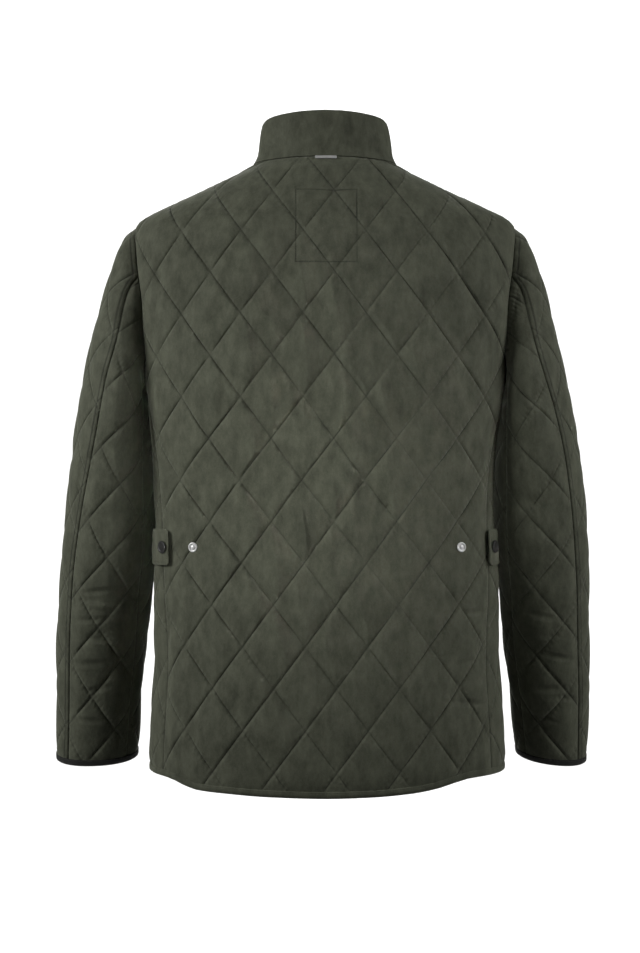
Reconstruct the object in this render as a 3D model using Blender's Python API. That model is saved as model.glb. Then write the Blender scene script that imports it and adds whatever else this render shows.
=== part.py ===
"""Man's diamond quilted jacket, in its worn shape with nobody in it.

Metres, +Z up, the front faces -Y and the wearer's left is +X. The origin is the centre of the neck base.
Each panel is drawn flat, then laid on a skin, which is the garment's inside face worked out from the rows
of a table. Quilting is raised in the wall's outer points only, so that the inside stays plain.
"""

import math

import bmesh
import bpy
import numpy as np
from mathutils import Vector
from mathutils.geometry import delaunay_2d_cdt

for old in list(bpy.data.objects):
    bpy.data.objects.remove(old, do_unlink=True)

# ---------------------------------------------------------------- sizes

WALL = 0.0025  # two faces of cloth with the wadding pressed flat
PUFF = 0.0038  # extra height at the middle of a diamond
INSET = 0.0045  # from the quilted outline that the tables give to the inside face
GAP = 0.0003  # between two pieces at a seam
DIAMOND_WIDE = 0.0758
DIAMOND_TALL = 0.1014
SLEEVE_DIAMOND_WIDE = 0.0720
SLEEVE_DIAMOND_TALL = 0.0915
FLAT_EDGE = 0.0095  # strip beside a bound edge with no wadding raised
BINDING_TALL = 0.0090
BINDING_CLOTH = 0.0010
COLLAR_WALL = 0.0030
ZIP_OPENING = 0.0045  # from the centre line to a front edge
ZIP_TAPE_WIDE = 0.0140
ZIP_TAPE_THICK = 0.0007
CHAIN_WIDE = 0.0060
CHAIN_THICK = 0.0024
TAB_TALL = 0.0440
TAB_LONG = 0.0560
TAB_THICK = 0.0022
TAB_SNAP_RADIUS = 0.0078
BACK_SNAP_RADIUS = 0.0060
BAR_WIDE = 0.0268
BAR_TALL = 0.0042
BAR_THICK = 0.0012

# ---------------------------------------------------------------- tables

# Level sections of the body, quilted outline: half width at the side, back and front reach, how square,
# sideways shift, and how far the arm presses the side in.
TORSO = (
    # z, side, back, front, square, shift, press
    (0.0200, 0.0720, 0.0480, -0.0400, 2.00, 0.0000, 0.0000),
    (0.0064, 0.0885, 0.0600, -0.0500, 2.00, 0.0000, 0.0000),
    (0.0020, 0.0925, 0.0630, -0.0530, 2.00, 0.0000, 0.0000),
    (-0.0030, 0.0995, 0.0660, -0.0560, 2.00, 0.0000, 0.0000),
    (-0.0104, 0.1134, 0.0705, -0.0600, 2.00, 0.0000, 0.0000),
    (-0.0256, 0.1444, 0.0785, -0.0680, 2.00, 0.0000, 0.0000),
    (-0.0408, 0.1752, 0.0865, -0.0760, 2.03, 0.0000, 0.0000),
    (-0.0560, 0.2084, 0.0935, -0.0850, 2.08, 0.0000, 0.0000),
    (-0.0680, 0.2310, 0.0985, -0.0915, 2.14, 0.0000, 0.0000),
    (-0.0780, 0.2420, 0.1025, -0.0965, 2.20, 0.0000, 0.0000),
    (-0.0950, 0.2480, 0.1080, -0.1035, 2.28, 0.0000, 0.0000),
    (-0.1250, 0.2500, 0.1155, -0.1140, 2.38, 0.0000, 0.0000),
    (-0.1600, 0.2480, 0.1215, -0.1220, 2.45, 0.0000, 0.0000),
    (-0.2050, 0.2450, 0.1260, -0.1290, 2.50, 0.0000, 0.0020),
    (-0.2500, 0.2390, 0.1280, -0.1340, 2.55, 0.0000, 0.0080),
    (-0.3000, 0.2350, 0.1270, -0.1370, 2.65, 0.0000, 0.0205),
    (-0.3400, 0.2300, 0.1250, -0.1380, 2.70, 0.0010, 0.0195),
    (-0.3900, 0.2250, 0.1230, -0.1385, 2.75, 0.0018, 0.0185),
    (-0.4400, 0.2240, 0.1225, -0.1395, 2.75, 0.0008, 0.0170),
    (-0.4900, 0.2250, 0.1240, -0.1410, 2.75, -0.0008, 0.0145),
    (-0.5400, 0.2235, 0.1265, -0.1425, 2.70, -0.0016, 0.0080),
    (-0.5800, 0.2190, 0.1280, -0.1435, 2.70, -0.0022, 0.0020),
    (-0.6200, 0.2175, 0.1300, -0.1445, 2.65, -0.0025, 0.0000),
    (-0.6800, 0.2215, 0.1325, -0.1460, 2.60, -0.0026, 0.0000),
    (-0.7400, 0.2245, 0.1345, -0.1470, 2.60, -0.0027, 0.0000),
    (-0.8100, 0.2255, 0.1355, -0.1475, 2.60, -0.0028, 0.0000),
)

# The neck seam and the collar's top edge, by the angle from the centre back.
NECK = (
    # turn, seam_z, top_z
    (0.0, 0.0064, 0.0650),
    (30.0, 0.0060, 0.0640),
    (60.0, 0.0045, 0.0608),
    (90.0, 0.0018, 0.0545),
    (115.0, -0.0090, 0.0435),
    (135.0, -0.0260, 0.0290),
    (155.0, -0.0450, 0.0120),
    (180.0, -0.0550, 0.0020),
)
COLLAR_TOP_SIDE = 0.0790
COLLAR_TOP_BACK = 0.0520
COLLAR_TOP_FRONT = -0.0760
# How far each level of the collar has moved from its seam to its top edge.
COLLAR_LEVELS = (
    # up, moved
    (0.00, 0.00),
    (0.08, 0.20),
    (0.22, 0.46),
    (0.50, 0.66),
    (0.78, 0.84),
    (0.94, 0.97),
    (1.00, 1.12),
)

# Where the shoulder seam runs, from the neck to the sleeve.
SHOULDER = (
    # z, turn
    (0.0040, 68.0),
    (-0.0040, 80.0),
    (-0.0150, 87.0),
    (-0.0350, 89.5),
    (-0.0550, 90.5),
    (-0.0765, 91.0),
)

# The armhole seen from the side, by the angle round the sleeve: 0 is the shoulder, 90 the back.
ARMHOLE = (
    # turn, y, z
    (0.0, -0.0030, -0.0765),
    (24.0, 0.0200, -0.0850),
    (48.0, 0.0375, -0.1080),
    (72.0, 0.0485, -0.1420),
    (96.0, 0.0560, -0.1860),
    (120.0, 0.0550, -0.2350),
    (144.0, 0.0400, -0.2790),
    (162.0, 0.0200, -0.2970),
    (180.0, 0.0000, -0.3030),
    (198.0, -0.0190, -0.2960),
    (216.0, -0.0370, -0.2770),
    (240.0, -0.0530, -0.2350),
    (264.0, -0.0580, -0.1890),
    (288.0, -0.0530, -0.1440),
    (312.0, -0.0420, -0.1080),
    (336.0, -0.0240, -0.0850),
    (360.0, -0.0030, -0.0765),
)

# The sleeve leaves the body outwards before it turns down: how far it swells at the shoulder and under the
# arm, at shares of the way from the armhole to the first section.
SLEEVE_HEAD = (
    # share, top_out, top_up, under_out
    (0.22, 0.0065, 0.0015, 0.0034),
    (0.50, 0.0055, 0.0000, 0.0040),
)

# Sections of each sleeve after its head, quilted outline: the outer and the inner point, the middle's
# place from front to back, half depth, how square, and how far the section leans down at the back.
SLEEVE_LEFT = (
    # outer_x, outer_z, inner_x, inner_z, middle_y, depth, square, lean
    (0.2770, -0.1600, 0.2170, -0.3300, 0.0040, 0.0770, 1.92, 0.0),
    (0.2948, -0.2210, 0.2146, -0.3580, 0.0040, 0.0805, 1.92, 0.0),
    (0.3095, -0.2930, 0.2110, -0.3970, 0.0030, 0.0800, 1.95, 0.0),
    (0.3213, -0.3750, 0.2086, -0.4430, 0.0010, 0.0770, 2.05, 1.0),
    (0.3300, -0.4550, 0.2104, -0.4900, -0.0030, 0.0715, 2.15, 3.0),
    (0.3368, -0.5280, 0.2190, -0.5380, -0.0100, 0.0655, 2.15, 5.0),
    (0.3417, -0.6000, 0.2268, -0.6000, -0.0200, 0.0590, 2.15, 7.0),
    (0.3432, -0.6750, 0.2354, -0.6730, -0.0330, 0.0525, 2.15, 9.0),
    (0.3463, -0.7530, 0.2395, -0.7490, -0.0470, 0.0470, 2.15, 10.0),
)
SLEEVE_RIGHT = (
    # outer_x, outer_z, inner_x, inner_z, middle_y, depth, square, lean
    (0.2775, -0.1600, 0.2168, -0.3300, 0.0040, 0.0770, 1.92, 0.0),
    (0.2930, -0.2210, 0.2140, -0.3580, 0.0040, 0.0805, 1.92, 0.0),
    (0.3100, -0.2930, 0.2104, -0.3970, 0.0030, 0.0800, 1.95, 0.0),
    (0.3235, -0.3750, 0.2090, -0.4430, 0.0010, 0.0770, 2.05, 1.0),
    (0.3321, -0.4550, 0.2122, -0.4900, -0.0030, 0.0715, 2.15, 3.0),
    (0.3353, -0.5280, 0.2215, -0.5380, -0.0100, 0.0655, 2.15, 5.0),
    (0.3365, -0.6000, 0.2272, -0.5980, -0.0200, 0.0590, 2.15, 7.0),
    (0.3381, -0.6750, 0.2370, -0.6690, -0.0330, 0.0520, 2.15, 9.0),
    (0.3370, -0.7555, 0.2447, -0.7450, -0.0470, 0.0460, 2.15, 10.0),
)

# The seam at the back of each arm, and each inner seam, by the share of the way up from the cuff.
SLEEVE_SEAMS = (
    # up, felled_left, felled_right, inner_left, inner_right
    (0.00, 45.0, 45.0, 144.0, 141.0),
    (0.10, 48.0, 47.5, 145.0, 143.0),
    (0.20, 49.5, 49.0, 145.0, 145.0),
    (0.30, 50.5, 52.0, 144.0, 145.0),
    (0.40, 52.0, 54.0, 140.0, 143.0),
    (0.50, 57.0, 54.5, 134.5, 138.0),
    (0.60, 63.5, 56.0, 131.5, 134.0),
    (0.70, 67.5, 60.5, 132.0, 133.5),
    (0.80, 68.5, 66.5, 135.0, 135.5),
    (0.90, 68.0, 68.5, 139.5, 139.5),
    (1.00, 72.0, 72.0, 144.0, 144.0),
)

# The side seam's angle from the centre back, under the armhole.
SIDE_SEAM = (
    # z, turn
    (-0.3300, 75.0),
    (-0.3900, 72.5),
    (-0.4600, 71.0),
    (-0.5600, 70.5),
    (-0.8100, 70.5),
)

# Where something presses the wadding flat: the arm against the side, and the waist tab.
SQUEEZED = (
    # x, y, z, reach_x, reach_y, reach_z, share
    (0.2120, 0.0000, -0.4000, 0.0400, 0.0560, 0.1450, 0.82),
    (0.2000, 0.0600, -0.4775, 0.0400, 0.0420, 0.0360, 0.92),
    (0.2180, -0.0300, -0.3000, 0.0400, 0.0400, 0.0450, 0.95),
)

# The jacket's lowest edge, by the angle from the centre back towards the wearer's left.
HEM = (
    # turn, z
    (-180.0, -0.7570),
    (-90.0, -0.7585),
    (-70.0, -0.7592),
    (-61.0, -0.7605),
    (-56.0, -0.7640),
    (-49.0, -0.7705),
    (-40.0, -0.7755),
    (-22.0, -0.7795),
    (0.0, -0.7810),
    (30.0, -0.7792),
    (46.0, -0.7762),
    (56.0, -0.7735),
    (61.0, -0.7690),
    (65.0, -0.7640),
    (70.0, -0.7610),
    (90.0, -0.7590),
    (180.0, -0.7570),
)

# Largest soft folds: where each one is on its flat piece, which way it runs, its half sizes and height.
FOLDS = (
    # piece, u, v, direction, half_long, half_wide, height
    ("back", 0.095, 0.200, 86.0, 0.110, 0.020, 0.0030),
    ("back", -0.020, 0.230, 92.0, 0.090, 0.018, 0.0022),
    ("back", -0.110, 0.190, 97.0, 0.100, 0.020, 0.0028),
    ("back", 0.150, 0.330, 78.0, 0.100, 0.022, 0.0028),
    ("back", -0.150, 0.350, 102.0, 0.100, 0.022, 0.0026),
    ("under_sleeve_left", 0.110, 0.330, 14.0, 0.050, 0.012, -0.0030),
    ("under_sleeve_left", 0.100, 0.225, 8.0, 0.050, 0.012, -0.0026),
    ("under_sleeve_left", 0.105, 0.125, -10.0, 0.045, 0.012, -0.0024),
    ("under_sleeve_right", 0.110, 0.345, 12.0, 0.050, 0.012, -0.0030),
    ("under_sleeve_right", 0.105, 0.255, -8.0, 0.050, 0.012, -0.0028),
    ("under_sleeve_right", 0.100, 0.150, 12.0, 0.045, 0.012, -0.0024),
    ("upper_sleeve_left", -0.100, 0.330, -10.0, 0.050, 0.014, -0.0026),
    ("upper_sleeve_right", -0.100, 0.320, 10.0, 0.050, 0.014, -0.0026),
    ("front_left", 0.150, 0.330, 80.0, 0.100, 0.022, 0.0024),
    ("front_right", -0.150, 0.330, 100.0, 0.100, 0.022, 0.0024),
)

# Where the diamonds of each piece start, as a crossing of two quilting lines, and how far they lean with v.
QUILT = {
    # piece: u, v, wide, tall, lean
    "back": (-0.0113, 0.3444, DIAMOND_WIDE, DIAMOND_TALL, 0.0),
    "front_left": (0.0379, 0.3444, DIAMOND_WIDE, DIAMOND_TALL, 0.0),
    "front_right": (-0.0379, 0.3444, DIAMOND_WIDE, DIAMOND_TALL, 0.0),
    "under_sleeve_left": (0.1000, 0.2770, 0.0640, SLEEVE_DIAMOND_TALL, 0.14),
    "upper_sleeve_left": (0.0000, 0.1000, SLEEVE_DIAMOND_WIDE, SLEEVE_DIAMOND_TALL, 0.0),
    "under_sleeve_right": (0.0790, 0.2830, SLEEVE_DIAMOND_WIDE, SLEEVE_DIAMOND_TALL, 0.11),
    "upper_sleeve_right": (0.0000, 0.1000, SLEEVE_DIAMOND_WIDE, SLEEVE_DIAMOND_TALL, 0.0),
}

# ---------------------------------------------------------------- curves


def columns(table):
    return np.array(table, dtype=float).T


def curve(xs, ys, x):
    """A smooth curve through the rows of a table, which never swings past them."""
    xs = np.asarray(xs, dtype=float)
    ys = np.asarray(ys, dtype=float)
    x = np.asarray(x, dtype=float)
    if xs[0] > xs[-1]:
        xs = xs[::-1]
        ys = ys[::-1]
    wide = (1,) * (ys.ndim - 1)
    step = np.diff(xs).reshape((-1,) + wide)
    rise = np.diff(ys, axis=0) / step
    slope = np.empty_like(ys)
    slope[0] = rise[0]
    slope[-1] = rise[-1]
    before = rise[:-1]
    after = rise[1:]
    same = before * after > 0
    near = 2 * step[1:] + step[:-1]
    far = step[1:] + 2 * step[:-1]
    safe_before = np.where(same, before, 1.0)
    safe_after = np.where(same, after, 1.0)
    slope[1:-1] = np.where(same, (near + far) / (near / safe_before + far / safe_after), 0.0)
    k = np.clip(np.searchsorted(xs, x) - 1, 0, len(xs) - 2)
    wide = x.shape + wide
    h = (xs[k + 1] - xs[k]).reshape(wide)
    t = np.clip((x - xs[k]) / (xs[k + 1] - xs[k]), 0.0, 1.0).reshape(wide)
    past = (x - np.clip(x, xs[0], xs[-1])).reshape(wide)
    value = ys[k] * (1 + 2 * t) * (1 - t) ** 2 + slope[k] * h * t * (1 - t) ** 2
    value = value + ys[k + 1] * t**2 * (3 - 2 * t) + slope[k + 1] * h * t**2 * (t - 1)
    return value + past * np.where(past < 0, slope[k], slope[k + 1])


def unit(vectors):
    return vectors / np.maximum(np.linalg.norm(vectors, axis=-1, keepdims=True), 1e-12)


def oval_reach(turn, across, along, square):
    """Distance from the middle of an oval to its edge at an angle, for its two half sizes."""
    a = np.abs(np.sin(turn)) / across
    b = np.abs(np.cos(turn)) / along
    return (a**square + b**square) ** (-1.0 / square)


# ---------------------------------------------------------------- skins


class Skin:
    """The garment's inside face as a map from flat cloth to space.

    Its points come in rows at equal steps of v, with a column for each turn in degrees. On the flat cloth
    u is the distance round the row from the turn 0, and v the distance along.
    """

    STEP = 0.004
    REACH = 0.76

    def __init__(self, points, turns, v0, dv, outward):
        self.turns = turns
        self.v0 = v0
        self.dv = dv
        self.outward = outward
        steps = np.linalg.norm(np.diff(points, axis=1), axis=2)
        arc = np.concatenate([np.zeros((len(points), 1)), np.cumsum(steps, axis=1)], axis=1)
        zero = int(np.argmin(np.abs(turns)))
        self.arc = arc - arc[:, zero : zero + 1]
        u = np.arange(-self.REACH, self.REACH + self.STEP, self.STEP)
        self.grid = np.empty((len(points), len(u), 3))
        for row in range(len(points)):
            for axis in range(3):
                self.grid[row, :, axis] = np.interp(u, self.arc[row], points[row, :, axis])

    def mixed(self, table, row, col):
        row = np.clip(row, 0, table.shape[0] - 1.001)
        col = np.clip(col, 0, table.shape[1] - 1.001)
        r = row.astype(int)
        c = col.astype(int)
        extra = (1,) * (table.ndim - 2)
        fr = (row - r).reshape(row.shape + extra)
        fc = (col - c).reshape(col.shape + extra)
        low = table[r, c] * (1 - fc) + table[r, c + 1] * fc
        high = table[r + 1, c] * (1 - fc) + table[r + 1, c + 1] * fc
        return low * (1 - fr) + high * fr

    def flat(self, turn, v):
        """(u, v) of points at these turns."""
        turn, v = np.broadcast_arrays(np.asarray(turn, float), np.asarray(v, float))
        col = (turn - self.turns[0]) / (self.turns[1] - self.turns[0])
        return np.stack([self.mixed(self.arc, (v - self.v0) / self.dv, col), v], axis=-1)

    def point(self, flat):
        flat = np.asarray(flat, float)
        row = (flat[..., 1] - self.v0) / self.dv
        return self.mixed(self.grid, row, (flat[..., 0] + self.REACH) / self.STEP)

    def slopes(self, flat, reach=0.004):
        flat = np.asarray(flat, float)
        du = np.array([reach, 0.0])
        dv = np.array([0.0, reach])
        along_u = self.point(flat + du) - self.point(flat - du)
        along_v = self.point(flat + dv) - self.point(flat - dv)
        return along_u / (2 * reach), along_v / (2 * reach)

    def normal(self, flat):
        along_u, along_v = self.slopes(flat)
        return unit(np.cross(along_u, along_v)) * self.outward


TURNS = np.arange(-240.0, 242.0, 2.0)


def torso_rows():
    """The body's sections at even steps down, smoothed along the shoulder line as well as in height."""
    rows = np.array(TORSO)
    run = np.concatenate([[0.0], np.cumsum(np.hypot(np.diff(rows[:, 0]), np.diff(rows[:, 1])))])
    fine = curve(run, rows, np.linspace(0.0, run[-1], 900))
    order = np.argsort(fine[:, 0])
    return fine[order]


TORSO_FINE = torso_rows()


def torso_point(turn, z):
    """Inside face of the body. The turn is in degrees from the centre back towards the wearer's left."""
    turn, z = np.broadcast_arrays(np.radians(turn), np.asarray(z, float))
    side, back, front, square, shift, press = (
        np.interp(z, TORSO_FINE[:, 0], TORSO_FINE[:, k]) for k in range(1, 7)
    )
    depth = np.where(np.cos(turn) > 0, back, -front) - INSET
    reach = oval_reach(turn, side - INSET, depth, square)
    x = reach * np.sin(turn)
    y = reach * np.cos(turn)
    x = x - np.sign(x) * press * np.exp(-((y / 0.042) ** 2))
    return np.stack([x + shift, y, z], axis=-1)


def body_skin(centre, outward):
    dv = 0.004
    v = np.arange(-0.018, 0.806, dv)
    turns = centre + TURNS if centre == 0 else centre - TURNS
    return Skin(torso_point(turns[None, :], -v[:, None]), TURNS, v[0], dv, outward)


BACK_SKIN = body_skin(0.0, 1.0)
FRONT_SKIN = body_skin(180.0, -1.0)


def armhole_loop(turn):
    """Points of the left armhole on the body's inside face, by the angle round the sleeve."""
    turns, ys, zs = columns(ARMHOLE)
    wrapped_turns = np.concatenate([turns[:-1] - 360, turns, turns[1:] + 360])
    wrapped = np.stack([np.concatenate([c[:-1], c, c[1:]]) for c in (ys, zs)], axis=-1)
    y, z = curve(wrapped_turns, wrapped, turn).T
    fan = np.arange(20.0, 161.0, 1.0)
    around = np.empty(len(y))
    for k in range(len(y)):
        ring = torso_point(fan, z[k])
        around[k] = np.interp(-y[k], -ring[:, 1], fan)
    return torso_point(around, z), around


def arm_turn(turn):
    """Turns over 180 degrees as the same place counted the other way."""
    return np.where(turn > 180.0, turn - 360.0, turn)


def sleeve_ring(row):
    outer_x, outer_z, inner_x, inner_z, middle_y, depth, square, lean = row
    outer = np.array([outer_x, middle_y, outer_z])
    inner = np.array([inner_x, middle_y, inner_z])
    middle = (outer + inner) / 2
    half = np.linalg.norm(outer - inner) / 2
    to_outer = (outer - middle) / half
    back = np.array([0.0, math.cos(math.radians(lean)), -math.sin(math.radians(lean))])
    turn = np.radians(TURNS)
    reach = oval_reach(turn, depth - INSET, half - INSET, square)
    return middle + (reach * np.cos(turn))[:, None] * to_outer + (reach * np.sin(turn))[:, None] * back


def sleeve_columns(table):
    """Lines down the left-hand sleeve, from the armhole to the cuff, one for each turn."""
    loop, _ = armhole_loop(TURNS)
    under = np.clip((np.abs(arm_turn(TURNS % 360.0)) - 95.0) / 60.0, 0.0, 1.0)
    loop[:, 0] += (2 * WALL + GAP) * under * under * (3 - 2 * under)
    first = sleeve_ring(table[0])
    top = (1 + np.cos(np.radians(TURNS))) / 2
    rings = [loop]
    for share, top_out, top_up, under_out in SLEEVE_HEAD:
        swell = np.stack([top * top_out + (1 - top) * under_out, 0 * top, top * top_up], axis=-1)
        rings.append(loop + (first - loop) * share + swell)
    rings += [sleeve_ring(row) for row in table]
    rings = np.array(rings)
    gaps = np.linalg.norm(np.diff(rings, axis=0), axis=2).mean(axis=1)
    run = np.concatenate([[0.0], np.cumsum(gaps)])
    fine = np.linspace(0.0, run[-1], 260)
    return curve(run, rings, fine)


def sleeve_skin(table, side):
    """The skin of one sleeve and each column's length. v is the distance up from the cuff's edge."""
    lines = sleeve_columns(table)[::-1]
    steps = np.linalg.norm(np.diff(lines, axis=0), axis=2)
    length = np.concatenate([np.zeros((1, len(TURNS))), np.cumsum(steps, axis=0)])
    dv = 0.004
    v = np.arange(-0.016, 0.74, dv)
    points = np.empty((len(v), len(TURNS), 3))
    for col in range(len(TURNS)):
        for axis in range(3):
            points[:, col, axis] = np.interp(v, length[:, col], lines[:, col, axis])
        top = unit(lines[-1, col] - lines[-6, col])
        foot = unit(lines[0, col] - lines[6, col])
        above = np.maximum(v - length[-1, col], 0.0)[:, None]
        below = np.maximum(-v, 0.0)[:, None]
        points[:, col] += above * top + below * foot
    points[:, :, 0] *= side
    return Skin(points, TURNS, v[0], dv, side), length[-1]


# ---------------------------------------------------------------- seams


def mitre(first, second):
    """The thickness arrow where two walls meet, so that both keep their thickness."""
    both = first + second
    share = 1.0 + np.sum(first * second, axis=-1, keepdims=True)
    arrow = both / np.maximum(share, 0.35)
    long = np.linalg.norm(arrow, axis=-1, keepdims=True)
    return arrow * np.minimum(1.0, 2.6 / long) * WALL


def front_turn(turn):
    return np.where(turn >= 0, 180.0 - turn, -180.0 - turn)


def neck_z(turn):
    turns, seam_z, _ = columns(NECK)
    return curve(turns, seam_z, 180.0 - np.abs(180.0 - np.abs(turn)))


def hem_z(turn):
    turns, zs = columns(HEM)
    return curve(turns, zs, turn)


def collar_top(turn):
    turns, _, top_z = columns(NECK)
    z = curve(turns, top_z, 180.0 - np.abs(180.0 - np.abs(turn)))
    angle = np.radians(turn)
    depth = np.where(np.cos(angle) > 0, COLLAR_TOP_BACK, -COLLAR_TOP_FRONT)
    reach = oval_reach(angle, COLLAR_TOP_SIDE, depth, 2.05) - COLLAR_WALL
    return np.stack([reach * np.sin(angle), reach * np.cos(angle), z], axis=-1)


def collar_point(turn, up):
    """Inside face of the collar at a turn and a share of its height."""
    base = torso_point(turn, neck_z(turn))
    top = collar_top(turn)
    ups, moved = columns(COLLAR_LEVELS)
    share = curve(ups, moved, up)
    flat = base[..., :2] + (top - base)[..., :2] * np.asarray(share)[..., None]
    z = base[..., 2] + (top - base)[..., 2] * up
    return np.concatenate([flat, z[..., None]], axis=-1)


def collar_normal(turn, up):
    around = collar_point(turn + 1.0, up) - collar_point(turn - 1.0, up)
    rising = collar_point(turn, np.minimum(up + 0.02, 1.0)) - collar_point(turn, np.maximum(up - 0.02, 0.0))
    return -unit(np.cross(around, rising))


# ---------------------------------------------------------------- flat drawing


def inside(points, outline):
    """Whether each point is in the outline, and its distance from it."""
    a = outline
    b = np.roll(outline, -1, axis=0)
    p = points[:, None, :]
    crosses = (a[:, 1] > p[..., 1]) != (b[:, 1] > p[..., 1])
    rise = np.where(b[:, 1] == a[:, 1], 1.0, b[:, 1] - a[:, 1])
    at = a[:, 0] + (p[..., 1] - a[:, 1]) * (b[:, 0] - a[:, 0]) / rise
    within = np.sum(crosses & (p[..., 0] < at), axis=1) % 2 == 1
    run = b - a
    share = np.sum((p - a) * run, axis=2) / np.maximum(np.sum(run**2, axis=1), 1e-12)
    nearest = a + np.clip(share, 0.0, 1.0)[..., None] * run
    return within, np.linalg.norm(p - nearest, axis=2).min(axis=1)


def quilt_nodes(quilt, outline):
    """Crossings, middles of the stitched sides, and points inside each diamond, as (flat, kind, key)."""
    u0, v0, wide, tall, lean = quilt
    low = outline.min(axis=0)
    high = outline.max(axis=0)
    extra = 2 + int(abs(lean) * (high[1] - low[1]) / (wide / 4))
    found = []
    for i in range(int((low[0] - u0) / (wide / 4)) - extra, int((high[0] - u0) / (wide / 4)) + extra):
        for j in range(int((low[1] - v0) / (tall / 4)) - 1, int((high[1] - v0) / (tall / 4)) + 2):
            if i % 2 == 0 and j % 2 == 0:
                kind = "cross" if (i // 2 + j // 2) % 2 == 0 else "middle"
            elif i % 2 and j % 2:
                kind = "side"
            else:
                kind = "ring"
            rise = j * tall / 4
            found.append((u0 + i * wide / 4 + lean * rise, v0 + rise, kind, (i, j)))
    return found


def puff(quilt, flat):
    """Height of the quilting, from 0 on a stitched line to 1 in the middle of a diamond."""
    u0, v0, wide, tall, lean = quilt
    a = (flat[..., 0] - u0 - lean * (flat[..., 1] - v0)) / wide
    b = (flat[..., 1] - v0) / tall
    both = np.abs(np.sin(np.pi * (a + b)) * np.sin(np.pi * (a - b)))
    return both**0.6


def squeezed(points):
    """Share of the quilting's height that is left at these points."""
    left = np.ones(len(points))
    for x, y, z, reach_x, reach_y, reach_z, share in SQUEEZED:
        far = ((np.abs(points[:, 0]) - x) / reach_x) ** 2
        far = far + ((points[:, 1] - y) / reach_y) ** 2 + ((points[:, 2] - z) / reach_z) ** 2
        left = left * (1.0 - share * np.exp(-(far**2)))
    return left


def fold_height(piece, flat):
    total = np.zeros(flat.shape[:-1])
    for name, u, v, direction, half_long, half_wide, height in FOLDS:
        if name != piece:
            continue
        angle = math.radians(direction)
        du = flat[..., 0] - u
        dv = flat[..., 1] - v
        along = (du * math.cos(angle) + dv * math.sin(angle)) / half_long
        across = (dv * math.cos(angle) - du * math.sin(angle)) / half_wide
        total = total + height * np.exp(-(along**2) - across**2)
    return total


def triangles(flat, edges, count):
    """Triangles of an outline, its first `count` points, through all the points and edges given."""
    loop = list(range(count))
    sides = [(k, (k + 1) % count) for k in loop]
    points, _, faces, origin, _, _ = delaunay_2d_cdt(
        [Vector(p) for p in flat], sides + edges, [loop], 1, 1e-7
    )
    own = [source[0] if source else -1 for source in origin]
    return [[own[k] for k in face] for face in faces]


# ---------------------------------------------------------------- solids


def material(name, colour, roughness, metallic):
    made = bpy.data.materials.new(name)
    made.use_nodes = True
    shader = made.node_tree.nodes["Principled BSDF"]
    shader.inputs["Base Color"].default_value = (*colour, 1.0)
    shader.inputs["Roughness"].default_value = roughness
    shader.inputs["Metallic"].default_value = metallic
    return made


def solid(name, points, faces, look):
    """A closed mesh object with its faces turned outwards."""
    made = bmesh.new()
    verts = [made.verts.new(p) for p in points]
    for face in faces:
        made.faces.new([verts[k] for k in face])
    bmesh.ops.recalc_face_normals(made, faces=made.faces)
    mesh = bpy.data.meshes.new(name)
    made.to_mesh(mesh)
    made.free()
    mesh.materials.append(material(name, *look))
    obj = bpy.data.objects.new(name, mesh)
    bpy.context.scene.collection.objects.link(obj)
    return obj


CLOTH = ((0.052, 0.054, 0.038), 0.80, 0.0)
BLACK = ((0.010, 0.010, 0.010), 0.75, 0.0)
TAPE = ((0.030, 0.031, 0.024), 0.85, 0.0)
SILVER = ((0.55, 0.55, 0.54), 0.30, 1.0)
DARK_METAL = ((0.045, 0.043, 0.040), 0.35, 1.0)


def shifted(skin, outline, base):
    """The outline moved inwards by half of the gap at a seam, flat and in space."""
    before = np.roll(outline, 1, axis=0)
    after = np.roll(outline, -1, axis=0)
    first = unit(outline - before)
    second = unit(after - outline)
    turned = np.sum(outline[:, 0] * after[:, 1] - after[:, 0] * outline[:, 1])
    side = 1.0 if turned > 0 else -1.0
    inward = np.stack([-(first + second)[:, 1], (first + second)[:, 0]], axis=-1) * side
    inward = unit(inward)
    reach = 0.006
    move = skin.point(outline + inward * reach) - skin.point(outline)
    return outline + inward * GAP / 2, base + unit(move) * GAP / 2


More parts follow.
